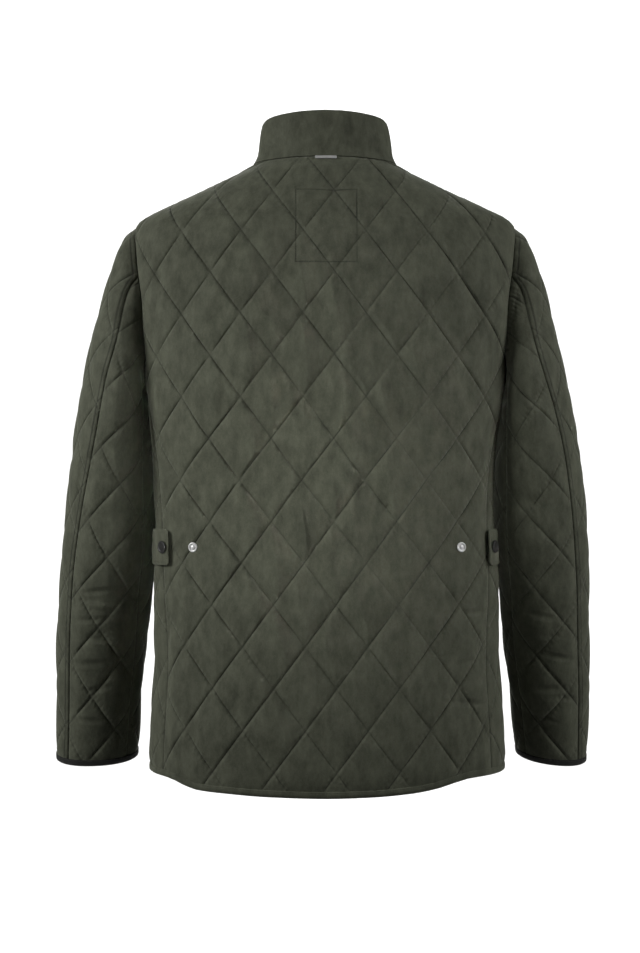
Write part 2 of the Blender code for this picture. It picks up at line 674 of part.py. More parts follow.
def panel(name, skin, parts, quilt, flat_edges=(), fine_inside=False):
    """A quilted panel from the runs of its outline, each (flat, points, walls).

    Runs go round in order and leave out their last node. flat_edges are guard lines with nothing raised.
    """
    outline = np.concatenate([part[0] for part in parts])
    base = np.concatenate([part[1] for part in parts])
    wall = np.concatenate([part[2] for part in parts])
    count = len(outline)
    outline, base = shifted(skin, outline, base)
    guards = np.concatenate([np.empty((0, 2))] + [g for g in flat_edges])
    guard_edges = []
    start = count
    for g in flat_edges:
        guard_edges += [(start + k, start + k + 1) for k in range(len(g) - 1)]
        start += len(g)
    nodes = quilt_nodes(quilt, outline)
    places = np.array([n[:2] for n in nodes])
    within, away = inside(places, outline)
    keep = within & (away > 0.0075)
    for g in flat_edges:
        order = np.argsort(g[:, 0])
        level = np.interp(places[:, 0], g[order, 0], g[order, 1])
        side = np.sign(np.mean(outline[:, 1]) - np.mean(g[:, 1]))
        keep &= (places[:, 1] - level) * side > 0.0065

    def face(kinds):
        chosen = [n for n, k in zip(nodes, keep) if k and n[2] in kinds]
        inner = np.array([n[:2] for n in chosen]).reshape(-1, 2)
        index = {n[3]: count + len(guards) + k for k, n in enumerate(chosen)}
        links = list(guard_edges)
        for i, j in index:
            for di, dj in ((1, 1), (1, -1)):
                other = (i + di, j + dj)
                on_line = (i % 2 == 0) == (j % 2 == 0) and (other in index)
                kinds_ok = "side" in kinds and ((i % 2 and j % 2) or (i // 2 + j // 2) % 2 == 0)
                other_ok = (other[0] % 2 and other[1] % 2) or (other[0] // 2 + other[1] // 2) % 2 == 0
                if on_line and kinds_ok and other_ok:
                    links.append((index[(i, j)], index[other]))
        flat = np.concatenate([outline, guards, inner])
        return flat, triangles(flat, links, count)

    outer_flat, outer_faces = face(("cross", "side", "middle", "ring"))
    inner_kinds = ("cross", "side", "middle", "ring") if fine_inside else ("cross", "side", "middle")
    inner_flat, inner_faces = face(inner_kinds)

    def lifted(flat, raised):
        own = flat[count:]
        _, away_here = inside(own, outline)
        fade = np.clip(away_here / 0.03, 0.0, 1.0)
        n = skin.normal(own)
        place = skin.point(own) + n * (fold_height(name, own) * fade)[:, None]
        if not raised:
            return np.concatenate([base, place])
        soft = np.clip((away_here - 0.002) / 0.016, 0.0, 1.0)
        soft = soft * soft * (3 - 2 * soft)
        high = WALL + PUFF * puff(quilt, own) * soft * squeezed(place)
        high[: len(guards)] = WALL
        return np.concatenate([base + wall, place + n * high[:, None]])

    outer = lifted(outer_flat, True)
    inner = lifted(inner_flat, False)
    shift = len(outer)
    rank = base @ np.array([0.0, 0.37, 1.0]) + 0.61 * np.abs(base[:, 0])
    faces = [list(f) for f in outer_faces]
    faces += [[k + shift for k in f][::-1] for f in inner_faces]
    for k in range(count):
        n = (k + 1) % count
        if rank[k] < rank[n]:
            faces += [[k, n, n + shift], [k, n + shift, k + shift]]
        else:
            faces += [[k, n, k + shift], [n, n + shift, k + shift]]
    return solid(name, np.concatenate([outer, inner]), faces, CLOTH)


def slab(name, inner, outer, look):
    """A closed wall between two grids of points, rows x columns x 3."""
    rows, cols = inner.shape[:2]
    points = np.concatenate([inner.reshape(-1, 3), outer.reshape(-1, 3)])
    top = rows * cols

    def at(r, c, layer):
        return r * cols + c + layer * top

    faces = []
    for r in range(rows - 1):
        for c in range(cols - 1):
            for layer in (0, 1):
                a, b = at(r, c, layer), at(r, c + 1, layer)
                d, e = at(r + 1, c + 1, layer), at(r + 1, c, layer)
                faces += [[a, b, d], [a, d, e]] if layer else [[a, d, b], [a, e, d]]
    rim = [(0, c) for c in range(cols)] + [(r, cols - 1) for r in range(1, rows)]
    rim += [(rows - 1, c) for c in range(cols - 2, -1, -1)] + [(r, 0) for r in range(rows - 2, 0, -1)]
    for k in range(len(rim)):
        p, q = rim[k], rim[(k + 1) % len(rim)]
        faces += [[at(*p, 0), at(*q, 0), at(*q, 1)], [at(*p, 0), at(*q, 1), at(*p, 1)]]
    return solid(name, points, faces, look)


def sweep(name, sections, closed, look):
    """A solid through closed sections, stations x corners x 3, either capped or joined into a ring."""
    stations, corners = sections.shape[:2]
    points = sections.reshape(-1, 3)
    faces = []
    for s in range(stations if closed else stations - 1):
        n = (s + 1) % stations
        for c in range(corners):
            d = (c + 1) % corners
            quad = [s * corners + c, s * corners + d, n * corners + d, n * corners + c]
            faces += [[quad[0], quad[1], quad[2]], [quad[0], quad[2], quad[3]]]
    if not closed:
        faces.append([c for c in range(corners)])
        faces.append([(stations - 1) * corners + c for c in range(corners)])
    obj = solid(name, points, faces, look)
    return obj


# ---------------------------------------------------------------- the body


ARM_STEP = 12.0
ARM_CORNER = 144.0  # where the side seam and the inner sleeve seam meet the armhole
HEM_SIDE_TURN = SIDE_SEAM[-1][1]
CUFF_LIFT = 0.0013  # from the bottom of a binding to the edge inside it
ARM_TURNS = np.arange(0.0, 360.0, ARM_STEP)
SKIN_LEFT, LENGTH_LEFT = sleeve_skin(SLEEVE_LEFT, 1.0)
SKIN_RIGHT, LENGTH_RIGHT = sleeve_skin(SLEEVE_RIGHT, -1.0)
SLEEVES = {1: (SKIN_LEFT, LENGTH_LEFT), -1: (SKIN_RIGHT, LENGTH_RIGHT)}


class ArmholeNodes:
    """Where the body and the sleeve meet: a place, a wall arrow for each, and the angle round the body."""

    def __init__(self, side, turns):
        loop, around = armhole_loop(turns)
        self.points = loop * np.array([side, 1.0, 1.0])
        self.around = around * side
        skin, length = SLEEVES[side]
        column = np.interp(arm_turn(turns), TURNS, length)
        sleeve_normal = skin.normal(skin.flat(arm_turn(turns), column - 0.008))
        body_normal = BACK_SKIN.normal(BACK_SKIN.flat(self.around, -self.points[:, 2]))
        joined = mitre(body_normal, sleeve_normal)
        share = 1.0 + np.sum(body_normal * sleeve_normal, axis=-1, keepdims=True)
        open_angle = np.clip((share - 0.55) / 0.5, 0.0, 1.0)
        self.walls = joined * open_angle + body_normal * WALL * (1 - open_angle)
        outer = self.points + self.walls + body_normal * GAP * (1 - open_angle)
        butted = outer - sleeve_normal * WALL
        self.sleeve_points = self.points * open_angle + butted * (1 - open_angle)
        self.sleeve_walls = outer - self.sleeve_points


def body_run(skin, seam_points, seam_walls, around, z):
    turns = around if skin is BACK_SKIN else front_turn(around)
    return skin.flat(turns, -np.asarray(z)), seam_points, seam_walls


SHOULDER_Z = np.linspace(0.0, 1.0, 9)


def shoulder_seam(side):
    """Nodes from the neck to the sleeve."""
    zs, turns = columns(SHOULDER)
    z = zs[0] + (zs[-1] - zs[0]) * SHOULDER_Z
    turn = curve(zs, turns, z)
    tip = ArmholeNodes(1, np.array([0.0]))
    z[0] = neck_z(turn[0])
    z[-1] = tip.points[0, 2]
    turn[-1] = tip.around[0]
    return turn * side, z


def side_seam(side):
    """Nodes from the armhole to the hem."""
    corner = ArmholeNodes(side, np.array([ARM_CORNER]))
    start = corner.points[0, 2]
    zs, turns = columns(SIDE_SEAM)
    zs = np.concatenate([[start], zs])
    turns = np.concatenate([[abs(corner.around[0])], turns])
    foot = hem_z(HEM_SIDE_TURN * side) + CUFF_LIFT
    z = np.concatenate([np.linspace(start, foot + 0.03, 19), [foot + 0.0095, foot]])
    return curve(zs, turns, z) * side, z


def hem_line(turns, above):
    return hem_z(turns) + above


def neck_run(skin, turns):
    z = neck_z(turns)
    points = torso_point(turns, z)
    used = turns if skin is BACK_SKIN else front_turn(turns)
    flat = skin.flat(used, -z)
    body_normal = skin.normal(flat)
    walls = mitre(body_normal, collar_normal(turns, np.full(len(turns), 0.06)))
    return flat, points, walls


def body_rows(skin, turns, z):
    used = turns if skin is BACK_SKIN else front_turn(turns)
    flat = skin.flat(used, -np.asarray(z))
    return flat, torso_point(turns, z), skin.normal(flat) * WALL


def without_last(run):
    return tuple(part[:-1] for part in run)


def reversed_run(run):
    return tuple(part[::-1] for part in run)


def shoulder_run(skin, side):
    turn, z = shoulder_seam(side)
    run = body_rows(skin, turn, z)
    _, neck_points, neck_walls = neck_run(BACK_SKIN, turn[:1])
    tip = ArmholeNodes(side, np.array([0.0]))
    flat, points, walls = run
    points[0] = neck_points[0]
    walls[0] = neck_walls[0]
    points[-1] = tip.points[0]
    walls[-1] = tip.walls[0]
    return flat, points, walls


def armhole_run(skin, side, turns):
    nodes = ArmholeNodes(side, turns)
    return body_run(skin, nodes.points, nodes.walls, nodes.around, nodes.points[:, 2])


def side_run(skin, side):
    turn, z = side_seam(side)
    flat, points, walls = body_rows(skin, turn, z)
    corner = ArmholeNodes(side, np.array([ARM_CORNER]))
    points[0] = corner.points[0]
    walls[0] = corner.walls[0]
    return flat, points, walls


NECK_SHOULDER_TURN = SHOULDER[0][1]
FRONT_EDGE_TURN = 180.0 - math.degrees(ZIP_OPENING / 0.0755)
HEM_BACK_TURNS = np.linspace(-HEM_SIDE_TURN, HEM_SIDE_TURN, 29)


def front_edge_turn(z):
    """Turn of the left front's edge beside the zip at a height."""
    reach = np.abs(torso_point(180.0, z)[..., 1])
    return 180.0 - np.degrees(ZIP_OPENING / reach)


HEM_FRONT_TURNS = np.linspace(HEM_SIDE_TURN, float(front_edge_turn(-0.757)), 22)

back_parts = [
    without_last(neck_run(BACK_SKIN, np.linspace(-NECK_SHOULDER_TURN, NECK_SHOULDER_TURN, 13))),
    without_last(shoulder_run(BACK_SKIN, 1)),
    without_last(armhole_run(BACK_SKIN, 1, np.arange(0.0, 145.0, ARM_STEP))),
    without_last(side_run(BACK_SKIN, 1)),
    without_last(body_rows(BACK_SKIN, HEM_BACK_TURNS[::-1], hem_line(HEM_BACK_TURNS[::-1], 0.0013))),
    without_last(reversed_run(side_run(BACK_SKIN, -1))),
    without_last(reversed_run(armhole_run(BACK_SKIN, -1, np.arange(0.0, 145.0, ARM_STEP)))),
    without_last(reversed_run(shoulder_run(BACK_SKIN, -1))),
]
back_guard = BACK_SKIN.flat(HEM_BACK_TURNS[1:-1], -hem_line(HEM_BACK_TURNS[1:-1], FLAT_EDGE))
panel("back", BACK_SKIN, back_parts, QUILT["back"], [back_guard])


def front(side, name):
    edge_z = np.linspace(float(neck_z(FRONT_EDGE_TURN)), float(hem_z(178.0)) + 0.0013, 32)
    edge = body_rows(FRONT_SKIN, front_edge_turn(edge_z) * side, edge_z)
    neck = neck_run(FRONT_SKIN, np.linspace(NECK_SHOULDER_TURN, FRONT_EDGE_TURN, 12) * side)
    edge[1][0] = neck[1][-1]
    edge[2][0] = neck[2][-1]
    edge[0][0] = neck[0][-1]
    hem = body_rows(FRONT_SKIN, HEM_FRONT_TURNS * side, hem_line(HEM_FRONT_TURNS * side, 0.0013))
    arm_turns = np.concatenate([[360.0], np.arange(348.0, 143.0, -ARM_STEP)])
    arm = armhole_run(FRONT_SKIN, side, arm_turns % 360.0)
    parts = [
        without_last(edge),
        without_last(reversed_run(hem)),
        without_last(reversed_run(side_run(FRONT_SKIN, side))),
        without_last(reversed_run(arm)),
        without_last(reversed_run(shoulder_run(FRONT_SKIN, side))),
        without_last(neck),
    ]
    inner_turns = HEM_FRONT_TURNS[1:-1] * side
    guard = FRONT_SKIN.flat(front_turn(inner_turns), -hem_line(inner_turns, FLAT_EDGE))
    return panel(name, FRONT_SKIN, parts, QUILT[name], [guard])


front(1, "front_left")
front(-1, "front_right")

# ---------------------------------------------------------------- the sleeves

FELLED_FOOT = {1: SLEEVE_SEAMS[0][1], -1: SLEEVE_SEAMS[0][2]}
INNER_FOOT = {1: SLEEVE_SEAMS[0][3], -1: SLEEVE_SEAMS[0][4]}


def under_cuff(side):
    return np.linspace(FELLED_FOOT[side], INNER_FOOT[side], 8)


def upper_cuff(side):
    return np.linspace(INNER_FOOT[side] - 360.0, FELLED_FOOT[side], 19)


def seam_turns(side, column):
    """Nodes up one sleeve seam: the turn and the height at each."""
    skin, length = SLEEVES[side]
    up, *turns = columns(SLEEVE_SEAMS)
    kind = ("felled", "inner").index(column) * 2 + (0 if side > 0 else 1)
    share = np.linspace(0.0, 1.0, 24)
    turn = curve(up, turns[kind], share)
    whole = np.interp(turn, TURNS, length)
    v = CUFF_LIFT + (whole - CUFF_LIFT) * share
    return turn, v


def sleeve_seam_run(side, column, shift=0.0):
    skin, _ = SLEEVES[side]
    turn, v = seam_turns(side, column)
    flat = skin.flat(turn, v)
    points = skin.point(flat)
    walls = skin.normal(flat) * WALL
    top = ArmholeNodes(side, np.array([turn[-1]]))
    points[-1] = top.sleeve_points[0]
    walls[-1] = top.sleeve_walls[0]
    if shift:
        flat = skin.flat(turn + shift, v)
    return flat, points, walls


def sleeve_armhole_run(side, turns):
    """Armhole nodes on the sleeve, for turns that may count on past the inner seam."""
    skin, length = SLEEVES[side]
    nodes = ArmholeNodes(side, turns % 360.0)
    column = np.interp(turns, TURNS, length)
    return skin.flat(turns, column), nodes.sleeve_points, nodes.sleeve_walls


def cuff_run(side, turns):
    skin, _ = SLEEVES[side]
    flat = skin.flat(turns, np.full(len(turns), CUFF_LIFT))
    return flat, skin.point(flat), skin.normal(flat) * WALL


def sleeve(side, suffix):
    skin, _ = SLEEVES[side]
    under = [
        without_last(cuff_run(side, under_cuff(side))),
        without_last(sleeve_seam_run(side, "inner")),
        without_last(reversed_run(sleeve_armhole_run(side, np.arange(72.0, 145.0, ARM_STEP)))),
        without_last(reversed_run(sleeve_seam_run(side, "felled"))),
    ]
    guard = skin.flat(under_cuff(side)[1:-1], np.full(6, FLAT_EDGE))
    name = "under_sleeve_" + suffix
    panel(name, skin, under, QUILT[name], [guard], fine_inside=True)
    upper = [
        without_last(cuff_run(side, upper_cuff(side))),
        without_last(sleeve_seam_run(side, "felled")),
        without_last(reversed_run(sleeve_armhole_run(side, np.arange(-216.0, 73.0, ARM_STEP)))),
        without_last(reversed_run(sleeve_seam_run(side, "inner", -360.0))),
    ]
    guard = skin.flat(upper_cuff(side)[1:-1], np.full(17, FLAT_EDGE))
    name = "upper_sleeve_" + suffix
    panel(name, skin, upper, QUILT[name], [guard], fine_inside=True)


sleeve(1, "left")
sleeve(-1, "right")

# ---------------------------------------------------------------- the collar

COLLAR_TURNS = np.concatenate(
    [
        -np.linspace(FRONT_EDGE_TURN, NECK_SHOULDER_TURN, 12),
        np.linspace(-NECK_SHOULDER_TURN, NECK_SHOULDER_TURN, 13)[1:-1],
        np.linspace(NECK_SHOULDER_TURN, FRONT_EDGE_TURN, 12),
    ]
)


def collar():
    ups = np.array([row[0] for row in COLLAR_LEVELS])
    inner = []
    outer = []
    for level, up in enumerate(ups):
        share = np.full(len(COLLAR_TURNS), up)
        point = collar_point(COLLAR_TURNS, share)
        normal = collar_normal(COLLAR_TURNS, share)
        wall = normal * COLLAR_WALL
        if level == 0:
            skin = BACK_SKIN
            wall = neck_run(skin, COLLAR_TURNS)[2]
            point = point + np.array([0.0, 0.0, GAP])
        if up == 1.0:
            wall = normal * COLLAR_WALL * 0.5
        inner.append(point)
        outer.append(point + wall)
    return slab("collar", np.array(inner), np.array(outer), CLOTH)


collar()

# ---------------------------------------------------------------- bindings

# Section of a folded binding: height over the bound edge, and distance out from the inside face.
BINDING = (
    # up, out
    (BINDING_TALL, WALL + GAP + BINDING_CLOTH),
    (0.0002, WALL + GAP + BINDING_CLOTH * 0.8),
    (0.0002, -GAP - BINDING_CLOTH * 0.8),
    (BINDING_TALL, -GAP - BINDING_CLOTH),
    (BINDING_TALL, -GAP),
    (BINDING_CLOTH, -GAP),
    (BINDING_CLOTH, WALL + GAP),
    (BINDING_TALL, WALL + GAP),
)


def binding(name, edge, up, out, closed, look):
    """A folded binding round a bound edge, from the edge's points and its up and out directions."""
    sections = []
    for k in range(len(edge)):
        sections.append([edge[k] + up[k] * rise + out[k] * away for rise, away in BINDING])
    return sweep(name, np.array(sections), closed, look)


def hem_binding():
    left = HEM_FRONT_TURNS[::-1]
    turns = np.concatenate([-left[:-1], HEM_BACK_TURNS, HEM_FRONT_TURNS[1:]])
    low = torso_point(turns, hem_line(turns, 0.0))
    high = torso_point(turns, hem_line(turns, BINDING_TALL))
    out = BACK_SKIN.normal(BACK_SKIN.flat(turns, -hem_line(turns, 0.0)))
    return binding("hem_binding", low, unit(high - low), out, False, CLOTH)


def cuff_binding(side, suffix):
    skin, _ = SLEEVES[side]
    turns = np.concatenate([under_cuff(side), upper_cuff(side)[1:-1] + 360.0])
    turns = np.where(turns > 180.0, turns - 360.0, turns)
    flat = skin.flat(turns, np.zeros(len(turns)))
    high = skin.flat(turns, np.full(len(turns), BINDING_TALL))
    low_points = skin.point(flat)
    high_points = skin.point(high)
    return binding(
        "cuff_binding_" + suffix,
        low_points,
        unit(high_points - low_points),
        skin.normal(flat),
        True,
        BLACK,
    )


hem_binding()
cuff_binding(1, "left")
cuff_binding(-1, "right")

# ---------------------------------------------------------------- tabs, snaps and bar

TAB_TOP_Z = -0.4560
TAB_END_X = {1: 0.1895, -1: -0.1990}
BACK_SNAP_X = {1: 0.1612, -1: -0.1655}
TAB_LIFT = 0.0030  # how far the free end stands off the quilting


def turn_at_x(x, z):
    """The turn at which the back's outside is this far to one side."""
    fan = np.arange(1.0, 80.0, 0.5) * np.sign(x)
    flat = BACK_SKIN.flat(fan, -z)
    ring = BACK_SKIN.point(flat) + BACK_SKIN.normal(flat) * (WALL + PUFF * 0.3)
    return float(np.interp(abs(x), np.abs(ring[:, 0]), fan))


def surface(flat, lift):
    """A point over the back's skin, by flat place and height over the inside face."""
    return BACK_SKIN.point(flat) + BACK_SKIN.normal(flat) * np.asarray(lift)[..., None]


def tab_frame(side):
    middle = TAB_TOP_Z - TAB_TALL / 2
    end = BACK_SKIN.flat(turn_at_x(TAB_END_X[side], middle), -middle)
    return end


def tab_point(side, share, row, lift):
    """A point on the tab from its free end, by share of its length, row across it and height over it."""
    end = tab_frame(side)
    rounded = 0.004 * max(0.0, abs(row) - 0.9) / 0.1 * max(0.0, 1.0 - share / 0.06)
    u = end[0] + side * (share * TAB_LONG + rounded)
    flat = np.array([u, end[1] + row * TAB_TALL / 2])
    base = WALL + PUFF * 0.14 + 2 * GAP + TAB_LIFT * max(0.0, 1.0 - share / 0.6)
    return surface(flat, np.array(base + lift))


def tab(side, suffix):
    """A strap from under the arm to its free end on the back, a slab over the quilting."""
    shares = (0.0, 0.06, 0.20, 0.34, 0.48, 0.60, 0.80, 1.0)
    rows = (-1.0, -0.9, -0.45, 0.0, 0.45, 0.9, 1.0)
    inner = np.array([[tab_point(side, share, row, 0.0) for share in shares] for row in rows])
    outer = np.array([[tab_point(side, share, row, TAB_THICK) for share in shares] for row in rows])
    return slab("tab_" + suffix, inner, outer, CLOTH)


def frame_over(flat, rise):
    """Middle, sideways, upwards and outwards directions of something that lies on the back."""
    middle = surface(flat, np.array(rise))
    out = BACK_SKIN.normal(flat)
    across, _ = BACK_SKIN.slopes(flat)
    across = unit(across - out * np.dot(across, out))
    return middle, across, np.cross(out, across), out


def frame_on_tab(side, share):
    """The same directions for something on a tab."""
    middle = tab_point(side, share, 0.0, TAB_THICK)
    along = unit(tab_point(side, share + 0.1, 0.0, TAB_THICK) - tab_point(side, share - 0.1, 0.0, TAB_THICK))
    upward = unit(tab_point(side, share, -0.4, TAB_THICK) - tab_point(side, share, 0.4, TAB_THICK))
    out = unit(np.cross(upward, along)) * side
    return middle + out * 0.0007, along, upward, out


def button(name, frame, profile, look, corners=20):
    """A round metal piece from its profile of (radius, height)."""
    middle, across, upward, out = frame
    points = [middle + out * profile[0][1]]
    faces = []
    for radius, height in profile[1:-1]:
        for k in range(corners):
            angle = 2 * math.pi * k / corners
            ring = across * math.cos(angle) + upward * math.sin(angle)
            points.append(middle + ring * radius + out * height)
    points.append(middle + out * profile[-1][1])
    rings = len(profile) - 2
    for k in range(corners):
        n = (k + 1) % corners
        faces.append([0, 1 + k, 1 + n])
        for r in range(rings - 1):
            a = 1 + r * corners
            b = a + corners
            faces += [[a + k, b + k, b + n], [a + k, b + n, a + n]]
        last = 1 + (rings - 1) * corners
        faces.append([last + k, len(points) - 1, last + n])
    return solid(name, points, faces, look)


TAB_SNAP = (
    # radius, height
    (0.0, 0.0),
    (TAB_SNAP_RADIUS - 0.0006, 0.0),
    (TAB_SNAP_RADIUS, 0.0006),
    (TAB_SNAP_RADIUS, 0.0016),
    (TAB_SNAP_RADIUS - 0.0010, 0.0024),
    (TAB_SNAP_RADIUS - 0.0024, 0.0024),
    (TAB_SNAP_RADIUS - 0.0030, 0.0016),
    (0.0, 0.0018),
)
BACK_SNAP = (
    # radius, height
    (0.0, 0.0),
    (BACK_SNAP_RADIUS - 0.0004, 0.0),
    (BACK_SNAP_RADIUS, 0.0004),
    (BACK_SNAP_RADIUS, 0.0012),
    (BACK_SNAP_RADIUS - 0.0008, 0.0017),
    (BACK_SNAP_RADIUS - 0.0018, 0.0017),
    (BACK_SNAP_RADIUS - 0.0024, 0.0009),
    (BACK_SNAP_RADIUS - 0.0030, 0.0009),
    (BACK_SNAP_RADIUS - 0.0034, 0.0022),
    (0.0, 0.0024),
)


def tab_snap(side, suffix):
    return button("tab_snap_" + suffix, frame_on_tab(side, 0.0094 / TAB_LONG), TAB_SNAP, DARK_METAL)


def back_snap(side, suffix):
    z = -0.4775
    flat = BACK_SKIN.flat(turn_at_x(BACK_SNAP_X[side], z), -z)
    lift = WALL + PUFF * float(puff(QUILT["back"], flat)) + 0.0005
    return button("back_snap_" + suffix, frame_over(flat, lift), BACK_SNAP, SILVER)


for hand, word in ((1, "left"), (-1, "right")):
    tab(hand, word)
    tab_snap(hand, word)
    back_snap(hand, word)


def bar():
    """The small plain bar, on the back just under the collar seam."""
    z = 0.0030
    flat = BACK_SKIN.flat(-0.9, -z)
    middle, across, upward, out = frame_over(flat, WALL + 0.0010)
    half = np.array([BAR_WIDE / 2, BAR_TALL / 2, BAR_THICK / 2])
    sections = []
    for share in (-1.0, -0.94, 0.94, 1.0):
        inset = 0.75 if abs(share) == 1.0 else 1.0
        ring = []
        for a, b in ((-1, -1), (1, -1), (1, 0.4), (0.7, 1), (-0.7, 1), (-1, 0.4)):
            place = middle + across * half[0] * share + upward * half[1] * a * inset
            ring.append(place + out * (half[2] * b * inset + half[2]))
        sections.append(ring)
    return sweep("neck_bar", np.array(sections), False, SILVER)


bar()

# ---------------------------------------------------------------- the zip


def closure(across, foot):
    """Points and outward directions up the front's centre line, this far to the wearer's left of it."""
    z = np.linspace(float(hem_z(180.0)) + foot, -0.0590, 24)
    flat = np.stack([np.full(len(z), across), -z], axis=-1)
    low = FRONT_SKIN.point(flat)
    low_out = FRONT_SKIN.normal(flat)
    ups = np.array([0.10, 0.24, 0.42, 0.60, 0.78, 0.90])
    turn = np.full(len(ups), 180.0 - math.degrees(across / 0.0755))
    high = collar_point(turn, ups)
    high_out = collar_normal(turn, ups)
    corner = collar_point(turn[:1], np.array([0.0]))
    corner_out = unit(low_out[-1:] + high_out[:1]) * 1.25
    return np.concatenate([low, corner, high]), np.concatenate([low_out, corner_out, high_out])


def strip(name, places, low, high, look, foot=BINDING_TALL + 0.002):
    """A flat strip that follows the front's centre line, through lines this far across from it."""
    lines = [closure(across, foot) for across in places]
    inner = np.stack([points + out * low for points, out in lines], axis=1)
    outer = np.stack([points + out * high for points, out in lines], axis=1)
    return slab(name, inner, outer, look)


TAPE_OUT = -0.0005
TAPE_PLACES = np.array([0.0012, 0.0075, 0.0012 + ZIP_TAPE_WIDE])
CHAIN_LOW = 0.0002
CHAIN_TOP = CHAIN_LOW + CHAIN_THICK
strip("zip_tape_left", TAPE_PLACES, TAPE_OUT - ZIP_TAPE_THICK, TAPE_OUT, TAPE)
strip("zip_tape_right", -TAPE_PLACES[::-1], TAPE_OUT - ZIP_TAPE_THICK, TAPE_OUT, TAPE)
strip("zip_chain", np.array([-0.5, 0.5]) * CHAIN_WIDE, CHAIN_LOW, CHAIN_TOP, DARK_METAL, 0.0010)

SLIDER_UP = 0.80  # share of the collar's height where the slider stops
SLIDER_WIDE = 0.0086
SLIDER_LONG = 0.0110
SLIDER_THICK = 0.0018
ARCH_HALF = 0.0032
ARCH_WIDE = 0.0020
ARCH_ROD = 0.0010
ARCH_RISE = 0.0036
PULL_WIDE = 0.0076
PULL_LONG = 0.0270
PULL_ROD = 0.0012
PULL_EYE = 0.0022  # half width of the hole that the slider's arch goes through


def slider_frame():
    """Middle of the zip at the slider, with the directions across, up the zip and outwards."""
    turn = np.array([180.0])
    middle = collar_point(turn, np.array([SLIDER_UP]))[0]
    out = collar_normal(turn, np.array([SLIDER_UP]))[0]
    across = np.array([1.0, 0.0, 0.0])
    return middle, across, unit(np.cross(out, across)) * -1.0, out


def tiles(name, xs, ys, holes, half, place, look):
    """A plate made of the tiles of a grid, less its holes, of a half thickness."""
    points = [place(x, y, level) for level in (-half, half) for y in ys for x in xs]
    wide = len(xs)
    top = wide * len(ys)
    cells = {(i, j) for i in range(wide - 1) for j in range(len(ys) - 1)} - set(holes)
    faces = []
    for i, j in sorted(cells):
        ring = [j * wide + i, j * wide + i + 1, (j + 1) * wide + i + 1, (j + 1) * wide + i]
        faces.append(ring[::-1])
        faces.append([k + top for k in ring])
        beside = ((i, j - 1), (i + 1, j), (i, j + 1), (i - 1, j))
        for k, other in enumerate(beside):
            if other not in cells:
                a, b = ring[k], ring[(k + 1) % 4]
                faces.append([a, b, b + top, a + top])
    used = sorted({k for face in faces for k in face})
    index = {k: n for n, k in enumerate(used)}
    faces = [[index[k] for k in face] for face in faces]
    return solid(name, [points[k] for k in used], faces, look)


def zip_slider():
    middle, across, up, out = slider_frame()
    low = CHAIN_TOP + GAP
    high = low + SLIDER_THICK
    sections = []
    for along, wide in ((-0.5, 0.62), (-0.36, 0.86), (0.0, 0.82), (0.36, 1.0), (0.5, 0.84)):
        half = SLIDER_WIDE / 2 * wide
        foot = middle + up * SLIDER_LONG * along
        corners = ((-half, low), (half, low), (half, high - 0.0005), (half - 0.0008, high))
        corners += ((-half + 0.0008, high), (-half, high - 0.0005))
        sections.append([foot + across * a + out * b for a, b in corners])
    body = sweep("zip_slider", np.array(sections), False, SILVER)
    arch = []
    for angle in np.linspace(-10.0, 190.0, 13):
        turn = math.radians(angle)
        ring = []
        for wide, thick in ((-0.5, -0.5), (0.5, -0.5), (0.5, 0.5), (-0.5, 0.5)):
            far = ARCH_HALF + ARCH_ROD * thick
            tall = (ARCH_RISE + ARCH_ROD * thick) / far
            place = middle + up * far * math.cos(turn) + out * (high + far * tall * math.sin(turn))
            ring.append(place + across * ARCH_WIDE * wide)
        arch.append(ring)
    loop = sweep("zip_slider_arch", np.array(arch), False, SILVER)
    loop.hide_render = True
    joined = body.modifiers.new("arch", "BOOLEAN")
    joined.operation = "UNION"
    joined.solver = "EXACT"
    joined.object = loop


def zip_pull():
    """The pull tab, which hangs from the slider's arch. Its top bar is the hinge."""
    middle, across, up, out = slider_frame()
    high = CHAIN_TOP + GAP + SLIDER_THICK
    pivot = middle + out * (high + PULL_ROD / 2 + 0.0006)
    hang = np.array([0.0, 0.0, -1.0])
    away = unit(np.cross(across, hang))
    away = away * np.sign(np.dot(away, out))
    print("pull pivot", [round(float(v), 5) for v in pivot])
    half = PULL_WIDE / 2
    xs = (-half, -PULL_EYE, PULL_EYE, half)
    ys = (-PULL_ROD / 2, PULL_ROD / 2, 0.0052, 0.0075, 0.0180, PULL_LONG - 0.0020, PULL_LONG)

    def place(x, y, level):
        slim = 1.0 - 0.22 * max(0.0, (y - PULL_LONG + 0.0021) / 0.0021)
        return pivot + across * x * slim + hang * y + away * level

    tiles("zip_pull", xs, ys, [(1, 1)], PULL_ROD / 2, place, SILVER)


zip_slider()
zip_pull()

print("built", len(bpy.data.objects), "pieces")
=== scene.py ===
# %% [markdown]
# A diamond quilted jacket, filled out as if somebody wore it, seen from the back.
# Each panel is cut flat, ruled along its quilting lines, and then bent onto the shape that the body gives it.
# The CAD model gives the frame: its nodes, its moving body and its size.

